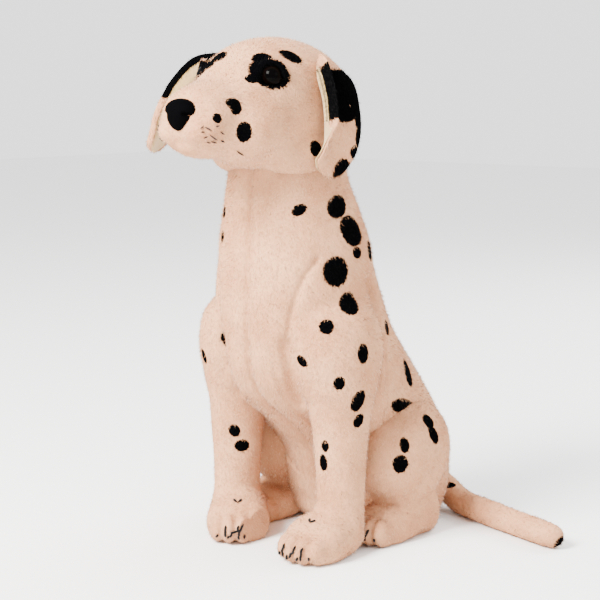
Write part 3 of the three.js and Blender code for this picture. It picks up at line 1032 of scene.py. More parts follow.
@dataclass(frozen=True)
class Stuffing:
    """Blows a skin up as cloth so that it pulls and puckers.

    Attributes:
        fill: How full the piece is, from 0 to 1; not used.
        cap: The furthest the cloth may move, in millimetres.
        pressure: The cloth's inner pressure.
        cell: The simulated mesh's spacing in millimetres.
        frames: How long it runs.
    """

    fill: float
    cap: float
    pressure: float = 4.0
    cell: float = 5.0
    frames: int = 20

    def apply(
        self,
        piece: bpy.types.Object,
        seams: Sequence[Sequence[Triple]] = (),
        still: tuple[float, float] | None = None,
        limb: bool = False,
    ) -> None:
        """Fills one piece.

        Args:
            piece: The closed skin.
            seams: Lines that stay pulled in while the cloth beside them puffs.
            still: Heights over which the cloth goes from held to free.
            limb: Whether only the front legs' part is held.
        """
        coarse, before, after = self._simulate(piece)
        moved = after - before
        far = np.linalg.norm(moved, axis=1, keepdims=True)
        moved *= np.minimum(1.0, self.cap * MM / np.maximum(far, 1e-9))
        tree = KDTree(len(before))
        for index, point in enumerate(before):
            tree.insert(point, index)
        tree.balance()
        co = read(piece.data.vertices, "co")
        shifts = np.zeros_like(co)
        for index, point in enumerate(co):
            found = tree.find_n(point, 4)
            weights = np.array([1.0 / (f[2] + 0.001) for f in found])
            shifts[index] = sum(moved[f[1]] * w for f, w in zip(found, weights)) / weights.sum()
        co += shifts * self._freedom(co, seams, still, limb)[:, None]
        co[:, 2] = np.maximum(co[:, 2], FLOOR_CLEAR)
        move_to(piece, co)
        bpy.data.objects.remove(coarse)

    @staticmethod
    def _freedom(
        points: np.ndarray,
        seams: Sequence[Sequence[Triple]],
        still: tuple[float, float] | None,
        limb: bool,
    ) -> np.ndarray:
        """How free each point is, from 0 to 1."""
        drawn = points / MM + (0.0, SEAT_BACK, 0.0)
        x, y, z = drawn.T
        free = np.ones(len(points))
        for seam in seams:
            free *= 1 - np.exp(-((line_distance((x, y, z), seam) / 8.0) ** 2))
        if still is not None:
            share = np.clip((z - still[0]) / (still[1] - still[0]), 0, 1)
            if limb:
                leg = (np.abs(x) > 26) & (y < 52)
                share = np.where(leg, share, 1.0)
            free *= share
        return free

    def _simulate(self, piece: bpy.types.Object) -> tuple[bpy.types.Object, np.ndarray, np.ndarray]:
        """Runs the cloth on a coarse copy.

        Args:
            piece: The closed skin.

        Returns:
            The copy, and its points before and after.
        """
        coarse = bpy.data.objects.new(piece.name + "_cloth", piece.data.copy())
        bpy.context.scene.collection.objects.link(coarse)
        remesh = coarse.modifiers.new("remesh", "REMESH")
        remesh.mode = "VOXEL"
        remesh.voxel_size = self.cell * MM
        bake_modifiers(coarse)
        before = read(coarse.data.vertices, "co")
        held = coarse.vertex_groups.new(name="held")
        held.add([int(i) for i in np.flatnonzero(before[:, 2] < 0.003)], 1.0, "REPLACE")
        cloth = coarse.modifiers.new("cloth", "CLOTH")
        for key, value in CLOTH.items():
            setattr(cloth.settings, key, value)
        cloth.settings.uniform_pressure_force = self.pressure
        cloth.settings.effector_weights.gravity = 0.0
        cloth.settings.vertex_group_mass = held.name
        cloth.point_cache.frame_start = 1
        cloth.point_cache.frame_end = self.frames
        scene = bpy.context.scene
        for frame_number in range(1, self.frames + 1):
            scene.frame_set(frame_number)
        seen = coarse.evaluated_get(bpy.context.evaluated_depsgraph_get())
        after = read(seen.data.vertices, "co")
        scene.frame_set(1)
        if len(after) != len(before) or not np.isfinite(after).all():
            after = before
        return coarse, before, after


def bake_modifiers(piece: bpy.types.Object) -> None:
    """Applies a piece's modifiers to its mesh."""
    seen = piece.evaluated_get(bpy.context.evaluated_depsgraph_get())
    made = bpy.data.meshes.new_from_object(seen)
    piece.modifiers.clear()
    piece.data = made


# ---------------------------------------------------------------------------
# The dog's sub-assemblies
# ---------------------------------------------------------------------------
Sides = {"left": 1, "right": -1}

FRONT_LEG: Rows = (
    (12, 66, 0, 22, 24),
    (40, 66, -1, 21.5, 23.5),
    (75, 66, 0, 22.5, 24),
    (105, 66, 0, 25, 26),
    (135, 65, 1, 28.5, 31),
    (165, 64, 2, 34, 40),
    (195, 62, 3, 38, 47),
    (225, 59, 2, 36, 41),
    (248, 55, 2, 30, 32),
)


def leg_column(here: Coordinates, side: int) -> np.ndarray:
    """Distances to a front leg's column, shoulder and all."""
    x, y, z = here
    return loft(z, side * x, y, FRONT_LEG, (0, 26))


@dataclass
class Trunk:
    """Chest, belly, rump and neck in one skin.

    Attributes:
        rows: Stations of (height, front, back, half width).
        square: How full the sections are.
        join: Where the front legs' columns pass out of the skin.
        neck: Heights at the neck, handed to bend.
        marks: The black patches.
        seams: The seams down the middle, front and back.
        shoulder: The left crease behind the front leg.
        panels: The left seam from the neck to the front leg.
        armpit: The left crease between front leg and chest.
    """

    rows: Rows = (
        (0, 84, 172, 58),
        (10, 68, 187, 76),
        (30, 58, 197, 86),
        (60, 48, 202, 90),
        (90, 34, 199, 89),
        (120, 2, 187, 86),
        (150, -40, 168, 83),
        (180, -58, 142, 81),
        (206, -62, 119, 80),
        (240, -63, 99, 79),
        (270, -61, 86, 76),
        (300, -58, 79, 73),
        (330, -57, 69, 65),
        (360, -56, 58, 57),
        (392, -53, 53, 52.5),
    )
    square: float = 2.15
    join: float = 157.0
    neck: tuple[float, float] = (300.0, 350.0)
    marks: tuple[Mark, ...] = ()
    seams: tuple[tuple[Triple, ...], ...] = (
        ((0, -57, 385), (0, -57, 330), (0, -61, 270), (0, -63, 235), (0, -61, 200)),
        ((0, -61, 200), (0, -56, 175), (0, -40, 150), (0, 2, 120), (0, 34, 90), (0, 54, 45)),
        ((0, 56, 392), (0, 79, 300), (0, 99, 240), (0, 142, 180), (0, 187, 120), (0, 200, 40)),
    )
    shoulder: tuple[Triple, ...] = (
        (77, 33, 262),
        (82, 39, 240),
        (85, 43, 205),
        (85, 40, 175),
        (84, 32, 146),
    )
    panels: tuple[Triple, ...] = (
        (61, -30, 289),
        (54, -42, 271),
        (50, -46, 258),
        (46, -50, 241),
        (43, -52, 222),
        (42, -51, 200),
    )
    armpit: tuple[Triple, ...] = (
        (43, -54, 208),
        (42, -50, 190),
        (40, -42, 168),
        (38, -28, 146),
    )

    def build(self, palette: Palette) -> bpy.types.Object:
        """Makes the skin and its pile.

        Args:
            palette: The shared finishes.

        Returns:
            The skin.
        """
        clay = Clay((-112, -86, -3), (112, 216, 397), 2.2)
        here = clay.here()
        x, y, z = here
        rows = [(h, 0, (f + b) / 2, w, (b - f) / 2) for h, f, b, w in self.rows]
        clay.add(loft(z, x, y, rows, (0, 0), self.square))
        for side in Sides.values():
            clay.add(leg_column(here, side) + LEG_FADE * np.maximum(0, self.join - z), 17.0)
        for seam in self.seams:
            clay.groove(line_distance(here, seam), 3.4, 3.4)
        sewing, folds = list(self.seams), []
        for side in Sides.values():
            panel = mirrored(self.panels, side)
            shoulder = mirrored(self.shoulder, side)
            armpit = mirrored(self.armpit, side)
            sewing.append(panel)
            folds += [shoulder, armpit]
            clay.groove(line_distance(here, panel), 3.6, 1.6)
            clay.groove(line_distance(here, armpit), 7.0, 6.0)
            clay.groove(line_distance(here, shoulder), 6.0, 6.0)
        clay.stand()
        skin = clay.mesh("torso_plush")
        Stuffing(0.8, cap=2.6, cell=6.0).apply(skin, (*sewing, *folds), (172.0, 215.0), True)
        seams = laid(skin, sewing)
        press(skin, seams, 2.2, 1.6)
        press(skin, laid(skin, folds), 5.5, 2.8)
        nodes = ("torso_skin", "torso_stuffing", "neck_skin", "neck_stuffing")
        _, pile = cover(skin, "torso_pile_cloth", nodes, self.marks, Pile(11), palette, seams)
        bend("torso", "neck", [(0, 20, height) for height in self.neck], skin, pile)
        report(skin, pile)
        return skin


@dataclass
class FrontLeg:
    """One front leg with its paw.

    Attributes:
        name: Which side it is on.
        paw: Stations of (y, x, z, half width, half height) before the paw turns.
        at: Where the paw's ankle stands.
        turn: The paw's turn in degrees.
        toes: How far each toe's middle is to the side of the paw's.
        gaps: How far each gap between toes is.
        bend: Heights on the leg, handed to bend.
        marks: The black patches.
    """

    name: str
    at: tuple[float, float]
    turn: float
    paw: Rows = (
        (-45, 0, 14, 26, 17),
        (-22, 0, 17, 30, 23),
        (6, 0, 20, 27, 25),
        (30, 0, 22, 22, 22),
    )
    toes: tuple[float, ...] = (-18.0, -6.5, 6.5, 18.0)
    gaps: tuple[float, ...] = (-12.5, 0.0, 12.5)
    bend: tuple[float, float] = (150.0, 95.0)
    marks: tuple[Mark, ...] = ()

    def local(self, here: Coordinates) -> Coordinates:
        """Grid coordinates turned with the paw."""
        x, y, z = here
        c, s = math.cos(math.radians(self.turn)), math.sin(math.radians(self.turn))
        u, v = x - self.at[0], y - self.at[1]
        return u * c + v * s, v * c - u * s, z

    def world(self, point: Triple) -> Triple:
        """A point of the turned paw in the drawing."""
        c, s = math.cos(math.radians(self.turn)), math.sin(math.radians(self.turn))
        u, v, z = point
        return self.at[0] + u * c - v * s, self.at[1] + u * s + v * c, z

    def build(self, palette: Palette) -> bpy.types.Object:
        """Makes the skin, its pile and the toe stitches."""
        side, leg = Sides[self.name], f"front_leg_{self.name}"
        low_x, high_x = sorted((side * 20, side * 108))
        clay = Clay((low_x, -72, -3), (high_x, 58, 200), 1.7)
        here = clay.here()
        clay.add(leg_column(here, side) + LEG_FADE * np.maximum(0, here[2] - Trunk.join))
        local = self.local(here)
        across, place, up = local
        clay.add(loft(place, across, up, self.paw, (20, 22), 2.5), 10.0)
        for toe in self.toes:
            clay.add(oval(local, (toe, -42 + abs(toe) * 0.5, 14.5), (8.5, 18, 14)), 4.0)
        for gap in self.gaps:
            corners = [(gap, -66, 4), (gap, -60, 20), (gap * 0.9, -44, 34), (gap * 0.8, -28, 40)]
            clay.groove(line_distance(local, corners), 3.2, 4.2)
        clay.groove(line_distance(here, [(side * 50, -40, 160), (side * 52, -34, 120)]), 2.6, 1.4)
        clay.stand()
        skin = clay.mesh(leg + "_plush")
        Stuffing(0.8, cap=1.8).apply(skin, (), (142.0, 112.0))
        nodes, pile = (leg + "_skin", leg + "_stuffing"), Pile(21 + side, length=3.8)
        tree, pile = cover(skin, leg + "_cloth", nodes, self.marks, pile, palette)
        threads = self.stitches(tree, palette)
        bend("torso", leg, [(side * 66, 0, height) for height in self.bend], skin, pile)
        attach(threads, leg)
        report(skin, pile, threads)
        return skin

    def stitches(self, tree: BVHTree, palette: Palette) -> bpy.types.Object:
        """Sews the black lines between the toes."""
        lines = []
        for gap in self.gaps:
            lines.append([(gap - 2, -66, 7), (gap, -63, 14), (gap + 2.5, -56, 22)])
        for toe in self.toes:
            lines.append([(toe - 1, -66 + abs(toe) * 0.5, 5), (toe + 1, -66 + abs(toe) * 0.5, 11)])
        lines += [[(-4, -27, 47), (0, -30, 42)], [(0, -30, 42), (4, -27, 46)]]
        lines = [[self.world(point) for point in line] for line in lines]
        return sewn(f"front_paw_{self.name}_stitches", lines, tree, palette.thread, 1.3)


def sewn(
    name: str,
    lines: Sequence[Sequence[Triple]],
    tree: BVHTree,
    finish: bpy.types.Material,
    radius: float,
) -> bpy.types.Object:
    """Sews thread on a skin.

    Args:
        name: The new piece's name.
        lines: Corner points in the drawing, each line pulled onto the skin.
        tree: The skin's search tree.
        finish: The thread's material.
        radius: The thread's radius in millimetres.

    Returns:
        The thread as one mesh.
    """
    points: list[np.ndarray] = []
    faces: list[list[int]] = []
    sides = 8
    for line in lines:
        dense = resample(np.array(line, float), LINE_STEP)
        course = []
        for corner in in_frame(dense):
            hit, normal, _, _ = tree.find_nearest(Vector(corner))
            course.append((np.array(hit), np.array(normal)))
        for index, (centre, normal) in enumerate(course):
            ahead = course[min(index + 1, len(course) - 1)][0]
            behind = course[max(index - 1, 0)][0]
            run = ahead - behind
            run /= max(np.linalg.norm(run), 1e-9)
            side = np.cross(run, normal)
            side /= max(np.linalg.norm(side), 1e-9)
            end = index in (0, len(course) - 1)
            wide = radius * MM * (0.35 if end else 1.0)
            first = len(points) * sides
            ring = []
            for k in range(sides):
                turn = 2 * math.pi * k / sides
                lift = normal * math.sin(turn) * wide * 0.8 + side * math.cos(turn) * wide
                ring.append(centre + normal * THREAD_OUT + lift)
            points.append(np.array(ring))
            if index:
                for k in range(sides):
                    n = (k + 1) % sides
                    faces.append([first - sides + k, first - sides + n, first + n, first + k])
    thread = new_object(name, np.concatenate(points), np.array(faces))
    return dress(thread, finish)


def resample(corners: np.ndarray, step: float) -> np.ndarray:
    """Points every step along a line, eased through its corners.

    Args:
        corners: The line's corner points.
        step: The spacing.

    Returns:
        The points.
    """
    gaps = np.linalg.norm(np.diff(corners, axis=0), axis=1)
    places = np.concatenate([[0], np.cumsum(gaps)])
    wanted = np.linspace(0, places[-1], max(3, int(places[-1] / step) + 1))
    rows = [(p, *c) for p, c in zip(places, corners)]
    return np.stack(along_rows(rows, wanted), 1)


@dataclass
class HindLeg:
    """One folded hind leg: a full thigh and the foot under it.

    Attributes:
        name: Which side it is on.
        thigh: The left thigh's middle.
        size: The thigh's radii.
        tilt: The thigh's lean in degrees.
        foot: Stations of (y, x, z, half width, half height).
        toes: How far out each toe's middle is.
        gaps: How far out each gap between toes is.
        marks: The black patches.
    """

    name: str
    thigh: Triple = (71, 97, 83)
    size: Triple = (38, 60, 53)
    tilt: float = 12.0
    foot: Rows = (
        (33, 75, 14, 24, 18),
        (60, 75, 17, 26, 22),
        (95, 75, 22, 26, 26),
        (136, 76, 22, 23, 26),
    )
    toes: tuple[float, ...] = (58.5, 69.5, 80.5, 91.5)
    gaps: tuple[float, ...] = (64.0, 75.0, 86.0)
    marks: tuple[Mark, ...] = ()

    def build(self, palette: Palette) -> bpy.types.Object:
        """Makes the skin, its pile and the toe stitches."""
        side, leg = Sides[self.name], f"hind_leg_{self.name}"
        low_x, high_x = sorted((side * 20, side * 116))
        clay = Clay((low_x, 4, -3), (high_x, 172, 146), 1.8)
        here = clay.here()
        x, y, z = here
        clay.add(oval(here, mirrored([self.thigh], side)[0], self.size, (self.tilt, 0, 0)))
        clay.add(loft(y, side * x, z, self.foot, (22, 24), 2.5), 9.0)
        for toe in self.toes:
            clay.add(oval(here, (side * toe, 32 + abs(toe - 75) * 0.4, 13.5), (8, 17, 13)), 4.0)
        for gap in self.gaps:
            corners = [(side * gap, 10, 4), (side * gap, 15, 20), (side * gap, 34, 34)]
            clay.groove(line_distance(here, corners), 3.2, 4.2)
        fold = mirrored([(112, 150, 40), (106, 110, 30), (104, 70, 30), (98, 40, 34)], side)
        clay.groove(line_distance(here, fold), 5.0, 3.0)
        clay.stand()
        skin = clay.mesh(leg + "_plush")
        Stuffing(0.8, cap=2.0).apply(skin)
        nodes, pile = (leg + "_skin", leg + "_stuffing"), Pile(31 + side, length=3.8)
        tree, pile = cover(skin, leg + "_cloth", nodes, self.marks, pile, palette)
        lines = [[(gap - 1, 11, 6), (gap, 13, 13), (gap + 2, 19, 22)] for gap in self.gaps]
        lines += [[(toe, 13, 5), (toe + 1, 14, 11)] for toe in self.toes[1:]]
        lines = [mirrored(line, side) for line in lines]
        threads = sewn(f"hind_paw_{self.name}_stitches", lines, tree, palette.thread, 1.3)
        ride(leg, skin, pile, threads)
        return skin


@dataclass
class Tail:
    """The tail, curled round on the floor beside the dog.

    Attributes:
        line: Its middle line, from the rump to the tip.
        radius: Its radius at the root.
        taper: How much thinner the tip is.
        split: Where its two bodies meet.
        way: The direction of the tail there.
        marks: The black patches.
    """

    line: tuple[Triple, ...] = (
        (-14, 176, 50),
        (4, 192, 42),
        (34, 213, 27),
        (78, 194, 15),
        (116, 177, 14),
        (168, 158, 13.2),
        (222, 139, 13),
    )
    radius: float = 13.0
    taper: float = 1.6
    split: Triple = (116.8, 176.7, 14.0)
    way: Triple = (0.94, -0.34, 0.0)
    marks: tuple[Mark, ...] = ()

    def build(self, palette: Palette) -> bpy.types.Object:
        """Makes the skin and its pile."""
        clay = Clay((-34, 118, -3), (250, 232, 70), 1.7)
        here = clay.here()
        dense = resample(np.array(self.line, float), 8.0)
        for index, (start, end) in enumerate(zip(dense, dense[1:])):
            share = index / (len(dense) - 2)
            radius = self.radius - self.taper * share
            clay.add(line_distance(here, [tuple(start), tuple(end)]) - radius, 3.0)
        seam = [tuple(p - np.array((0, 0, self.radius))) for p in dense]
        clay.groove(line_distance(here, seam), 2.5, 1.5)
        clay.stand()
        skin = clay.mesh("tail_plush")
        Stuffing(0.85, cap=1.2).apply(skin)
        nodes = ("tail_base_skin", "tail_base_stuffing", "tail_end_skin", "tail_end_stuffing")
        pile = Pile(41, length=3.6, lay=Lay.OUT)
        _, pile = cover(skin, "tail_cloth", nodes, self.marks, pile, palette)
        ends = [np.array(self.split) + np.array(self.way) * reach for reach in (-12, 12)]
        bend("tail_base", "tail_end", ends, skin, pile)
        report(skin, pile)
        return skin


@dataclass
class Head:
    """Skull, muzzle, eyes, nose and mouth.

    Attributes:
        rows: Stations of (y, underside, top, half width).
        eye: The left eye's middle.
        gaze: The way the left eye faces.
        eye_radius: An eye's radius.
        lips: The left edge of the mouth.
        whiskers: Strokes on the left lip, as (y, z, length).
        marks: The black patches.
    """

    rows: Rows = (
        (-155, 401, 440, 22),
        (-143, 394, 447, 31),
        (-128, 390, 453, 36),
        (-108, 388, 459, 39),
        (-90, 384, 473, 45),
        (-70, 378, 487, 52),
        (-45, 374, 494.5, 57),
        (-12, 370, 495.5, 59),
        (20, 371, 487, 57),
        (46, 375, 470, 50),
        (70, 389, 444, 38),
    )
    eye: Triple = (39.5, -71, 461)
    gaze: Triple = (0.62, -0.77, 0.12)
    eye_radius: float = 11.5
    lips: tuple[Triple, ...] = ((0, -163, 408), (14, -158, 402), (27, -140, 399), (33, -112, 397))
    whiskers: Rows = (
        (-160, 417, 4),
        (-156, 411, 5),
        (-152, 415, 7),
        (-153, 405, 5),
        (-147, 408, 7),
        (-143, 402, 6),
        (-137, 412, 4),
        (-134, 406, 6),
        (-149, 400, 4),
        (-141, 416, 3),
        (-112, 395, 9),
    )
    marks: tuple[Mark, ...] = ()

    def build(self, palette: Palette) -> bpy.types.Object:
        """Makes the head and everything sewn to it."""
        clay = Clay((-72, -172, 358), (72, 88, 508), 1.6)
        here = clay.here()
        x, y, z = here
        rows = [(p, 0, (u + t) / 2, w, (t - u) / 2) for p, u, t, w in self.rows]
        clay.add(loft(y, x, z, rows, (16, 40), 2.2))
        for side in Sides.values():
            clay.add(oval(here, (side * 15, -128, 414), (20, 29, 18), (8, 0, 0)), 7.0)
            clay.add(oval(here, (side * 34, -20, 388), (27, 46, 20)), 14.0)
            clay.add(oval(here, (side * 36, -84, 412), (21, 30, 22)), 16.0)
        clay.add(oval(here, (0, -122, 398), (19, 27, 10)), 5.0)
        for side in Sides.values():
            ex, ey, ez = side * self.eye[0], self.eye[1], self.eye[2]
            clay.cut(oval(here, (ex + side * 6, ey - 8, ez + 1), (12.5, 12.5, 11.5)), 4.0)
            clay.add(line_distance(here, self.eye_arc(side, 0, 180, 11.5, 4.5)) - 3.3, 4.0)
            clay.groove(line_distance(here, mirrored(self.lips, side)), 3.6, 1.6)
        clay.groove(line_distance(here, [(0, -166, 424), (0, -164, 408)]), 2.6, 2.0)
        skin = clay.mesh("head_plush")
        Stuffing(0.85, cap=1.6).apply(skin)
        nodes = ("head_skin", "head_stuffing")
        pile = Pile(51, length=3.2, count=700.0, lay=Lay.BACK)
        tree, pile = cover(skin, "head_cloth", nodes, self.marks, pile, palette)
        fittings = [self.nose(), self.face_thread(tree, palette)]
        fittings += [self.eye_ball(name) for name in Sides]
        ride("head", skin, pile, *fittings)
        return skin

    def nose(self) -> bpy.types.Object:
        """Makes the matte nose."""
        clay = Clay((-24, -172, 404), (24, -132, 448), 0.7)
        here = clay.here()
        clay.add(oval(here, (0, -152, 431), (17, 11, 10.5)))
        clay.add(oval(here, (0, -153.5, 422), (10, 9.5, 10)), 9.0)
        for side in Sides.values():
            clay.cut(oval(here, (side * 14.5, -160, 425.5), (5.5, 6, 2.6), (0, side * 25, 0)), 3.0)
        clay.groove(line_distance(here, [(0, -165, 430), (0, -163, 412)]), 1.4, 1.0)
        nose = clay.mesh("nose_pad")
        finish = GrainedFinish("nose_flock", Tone.INK, Tone.INK, 1400.0, 0.0005, 0.7)
        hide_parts("nose")
        return dress(nose, finish.make())

    def eye_ball(self, name: str) -> bpy.types.Object:
        """Makes one polished eye."""
        side = Sides[name]
        centre = in_frame((side * self.eye[0], self.eye[1], self.eye[2]))
        facing = Vector((side * self.gaze[0], self.gaze[1], self.gaze[2])).normalized()
        clay = Clay((-14, -14, -14), (14, 14, 14), 0.8)
        clay.add(oval(clay.here(), (0, 0, 0), (self.eye_radius,) * 3))
        eye = clay.mesh(f"eye_{name}_ball")
        eye.data.transform(Matrix.Translation(Vector(centre) - Vector(in_frame((0, 0, 0)))))
        finish = GlassEyeFinish(f"eye_{name}_glass", Vector(centre), facing)
        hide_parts(f"eye_{name}")
        return dress(eye, finish.make())

    def eye_arc(self, side: int, start: int, end: int, radius: float, lift: float) -> list[Triple]:
        """Points on an arc round one eye.

        Args:
            side: 1 for the left eye and -1 for the right.
            start: The first angle in degrees, 0 being level and 90 over the eye.
            end: The last angle.
            radius: The arc's radius in millimetres.
            lift: How far it lies in front of the eye's middle.

        Returns:
            The arc's points in the drawing.
        """
        centre = np.array((side * self.eye[0], self.eye[1], self.eye[2]))
        gaze = np.array((side * self.gaze[0], self.gaze[1], self.gaze[2]))
        gaze /= np.linalg.norm(gaze)
        level = np.cross(gaze, (0, 0, 1.0))
        level /= np.linalg.norm(level)
        rise = np.cross(level, gaze)
        course = []
        for degrees in range(start, end + 1, 20):
            turn = math.radians(degrees)
            ring = level * math.cos(turn) + rise * math.sin(turn)
            course.append(tuple(centre + ring * radius + gaze * lift))
        return course

    def face_thread(self, tree: BVHTree, palette: Palette) -> bpy.types.Object:
        """Sews the fine whisker strokes on both lips."""
        lines = []
        chance = np.random.default_rng(77)
        for side in Sides.values():
            for y, z, length in self.whiskers:
                across, up, slope = chance.normal(0, (1.6, 1.4, 0.3))
                start = (30, y + across, z + up)
                finish = (31, y + across + length, z + up + slope * length)
                lines.append(mirrored([start, finish], side))
        return sewn("whisker_stitches", lines, tree, palette.whisker, 0.75)


@dataclass
class Ear:
    """One hanging ear: plush outside, pale cloth inside.

    Attributes:
        name: Which side it is on.
        rows: Stations from root to tip of (x, y, z, half width, twist).
        roll: How far the front edge rolls out, in degrees.
        fold: Where the roll starts, as a share of the half width.
        sweep: How wide the roll is, as a share of the half width.
        hollow: How steeply the upper part falls to its back edge.
        dish: How deep the lower part is, as a share of the half width.
        layer: The thickness of one layer in millimetres.
        marks: Black patches as (length share, width share, width, height).
    """

    name: str
    rows: Rows
    roll: float
    fold: float
    sweep: float = 0.36
    hollow: float = 0.34
    dish: float = 0.17
    layer: float = 3.6
    marks: tuple[tuple[float, float, float, float], ...] = ()

    def surface(self, t: np.ndarray, s: np.ndarray, level: np.ndarray) -> np.ndarray:
        """Points of the ear.

        Args:
            t: From 0 at the root to 1 at the tip.
            s: From -1 at the front edge to 1 at the back edge.
            level: Height over the middle surface in millimetres.

        Returns:
            Points in the drawing.
        """
        last = len(self.rows) - 1
        table = [(i / last, *row) for i, row in enumerate(self.rows)]
        x, y, z, half, twist = along_rows(table, t)
        ahead = np.stack(along_rows(table, np.minimum(1, t + 0.02))[:3], -1)
        behind = np.stack(along_rows(table, np.maximum(0, t - 0.02))[:3], -1)
        along = unit(ahead - behind)
        wide = np.stack([twist, np.ones_like(t), np.zeros_like(t)], -1)
        wide = unit(wide - along * np.einsum("ij,ij->i", wide, along)[:, None])
        face = np.cross(along, wide) * Sides[self.name]
        half = half * dome(1 - t, 0.12)
        course = np.linspace(1, -1, 201)
        eased = np.clip((-course - self.fold) / self.sweep, 0, 1)
        heading = math.radians(self.roll) * eased * eased * (3 - 2 * eased)
        open_part = 1 - np.clip((t - 0.5) / 0.25, 0, 1)
        flat = half * self.dish * s * s
        slope = self.hollow * np.maximum(course, -self.fold)
        run = 1 + np.cumsum(-np.cos(heading)) * 0.01
        rise = np.cumsum(np.sin(heading) - slope * np.cos(heading)) * 0.01
        rise -= rise[100]
        cup = half * np.interp(-s, -course, rise) * open_part + flat * (1 - open_part)
        s = np.interp(-s, -course, run) * open_part + s * (1 - open_part)
        ripple = 1.3 * np.sin(9 * t + 2.2 * s) * t + 0.8 * np.sin(17 * t - 3 * s)
        centre = np.stack([x, y, z], -1)
        return centre + wide * (half * s)[:, None] + face * (cup + level + ripple)[:, None]

    def sheet(
        self, name: str, low: float, high: float, spread: float, rim: float
    ) -> bpy.types.Object:
        """Makes one closed layer between two levels.

        Args:
            name: The new piece's name.
            low: The lower level in millimetres.
            high: The upper level.
            spread: Its share of the ear's width.
            rim: How far its edges wrap below the lower level.

        Returns:
            The layer.
        """
        rings, across = 74, 40
        s = np.sin(np.linspace(-1, 1, across + 1) * math.pi / 2)
        loop = np.concatenate([s, s[-2:0:-1]])
        upper = np.concatenate([np.ones(across + 1), -np.ones(across - 1)])
        wrap = np.clip((np.abs(loop) - 0.8) / 0.14, 0, 1)
        base = low - rim * wrap * wrap * (3 - 2 * wrap)
        middle, half = (base + high) / 2, (high - base) / 2
        points = []
        for ring in range(rings + 1):
            t = np.full(len(loop), ring / rings)
            close = math.sqrt(max(0.0, 1 - (ring / rings) ** 24))
            thick = half * np.sqrt(np.clip(1 - loop**6, 0, 1)) * close
            points.append(self.surface(t, loop * spread, middle + upper * thick))
        count = len(loop)
        faces = []
        for ring in range(rings):
            for k in range(count):
                n = (k + 1) % count
                base = ring * count
                faces.append([base + k, base + n, base + count + n, base + count + k])
        points = in_frame(np.concatenate(points))
        return new_object(name, points, facing_out(points, np.array(faces)))

    def build(self, palette: Palette) -> bpy.types.Object:
        """Makes both layers and their pile."""
        ear = f"ear_{self.name}"
        rim, inner = (5.5, 0.9) if self.name == "right" else (0.0, 1.03)
        skin = self.sheet(ear + "_plush", -0.2, self.layer + 1.2, 1.0, rim)
        lining = self.sheet(ear + "_cloth", -self.layer, 0.2, inner, 0.0)
        spots = tuple(self.patch(*mark) for mark in self.marks)
        dress(skin, PlushFinish(ear + "_plush_cloth", spots).make())
        inside = ear + "_lining_cloth"
        finish = GrainedFinish(inside, Tone.LINING, Tone.LINING_SHADE, 700.0, 0.0009, 0.95, 0.4)
        dress(lining, finish.make())
        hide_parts(ear + "_outer")
        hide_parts(ear + "_lining")
        pile = Pile(61, length=4.0, count=800.0).grow(skin, spots, palette.pile)
        ride(ear, skin, lining, pile)
        return skin

    def patch(self, t: float, s: float, width: float, tall: float) -> Spot:
        """Places a black patch at a share of the length and width."""
        here = in_frame(self.surface(np.array([t]), np.array([s]), np.array([self.layer]))[0])
        return Spot(Vector(here), Euler((0, 0, 0)), Vector((width, width, tall)) * MM / 2)


def carry_over() -> None:
    """Gives the hidden fittings that stay as CAD nodes a material of their own."""
    finish = GrainedFinish("washer_plastic", Tone.WASHER, Tone.WASHER_SHADE, 500.0, 0.0002, 0.5)
    material = finish.make()
    for name in ("nose_washer", "eye_washer_left", "eye_washer_right"):
        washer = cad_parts[name]
        washer.data.materials.clear()
        washer.data.materials.append(material)


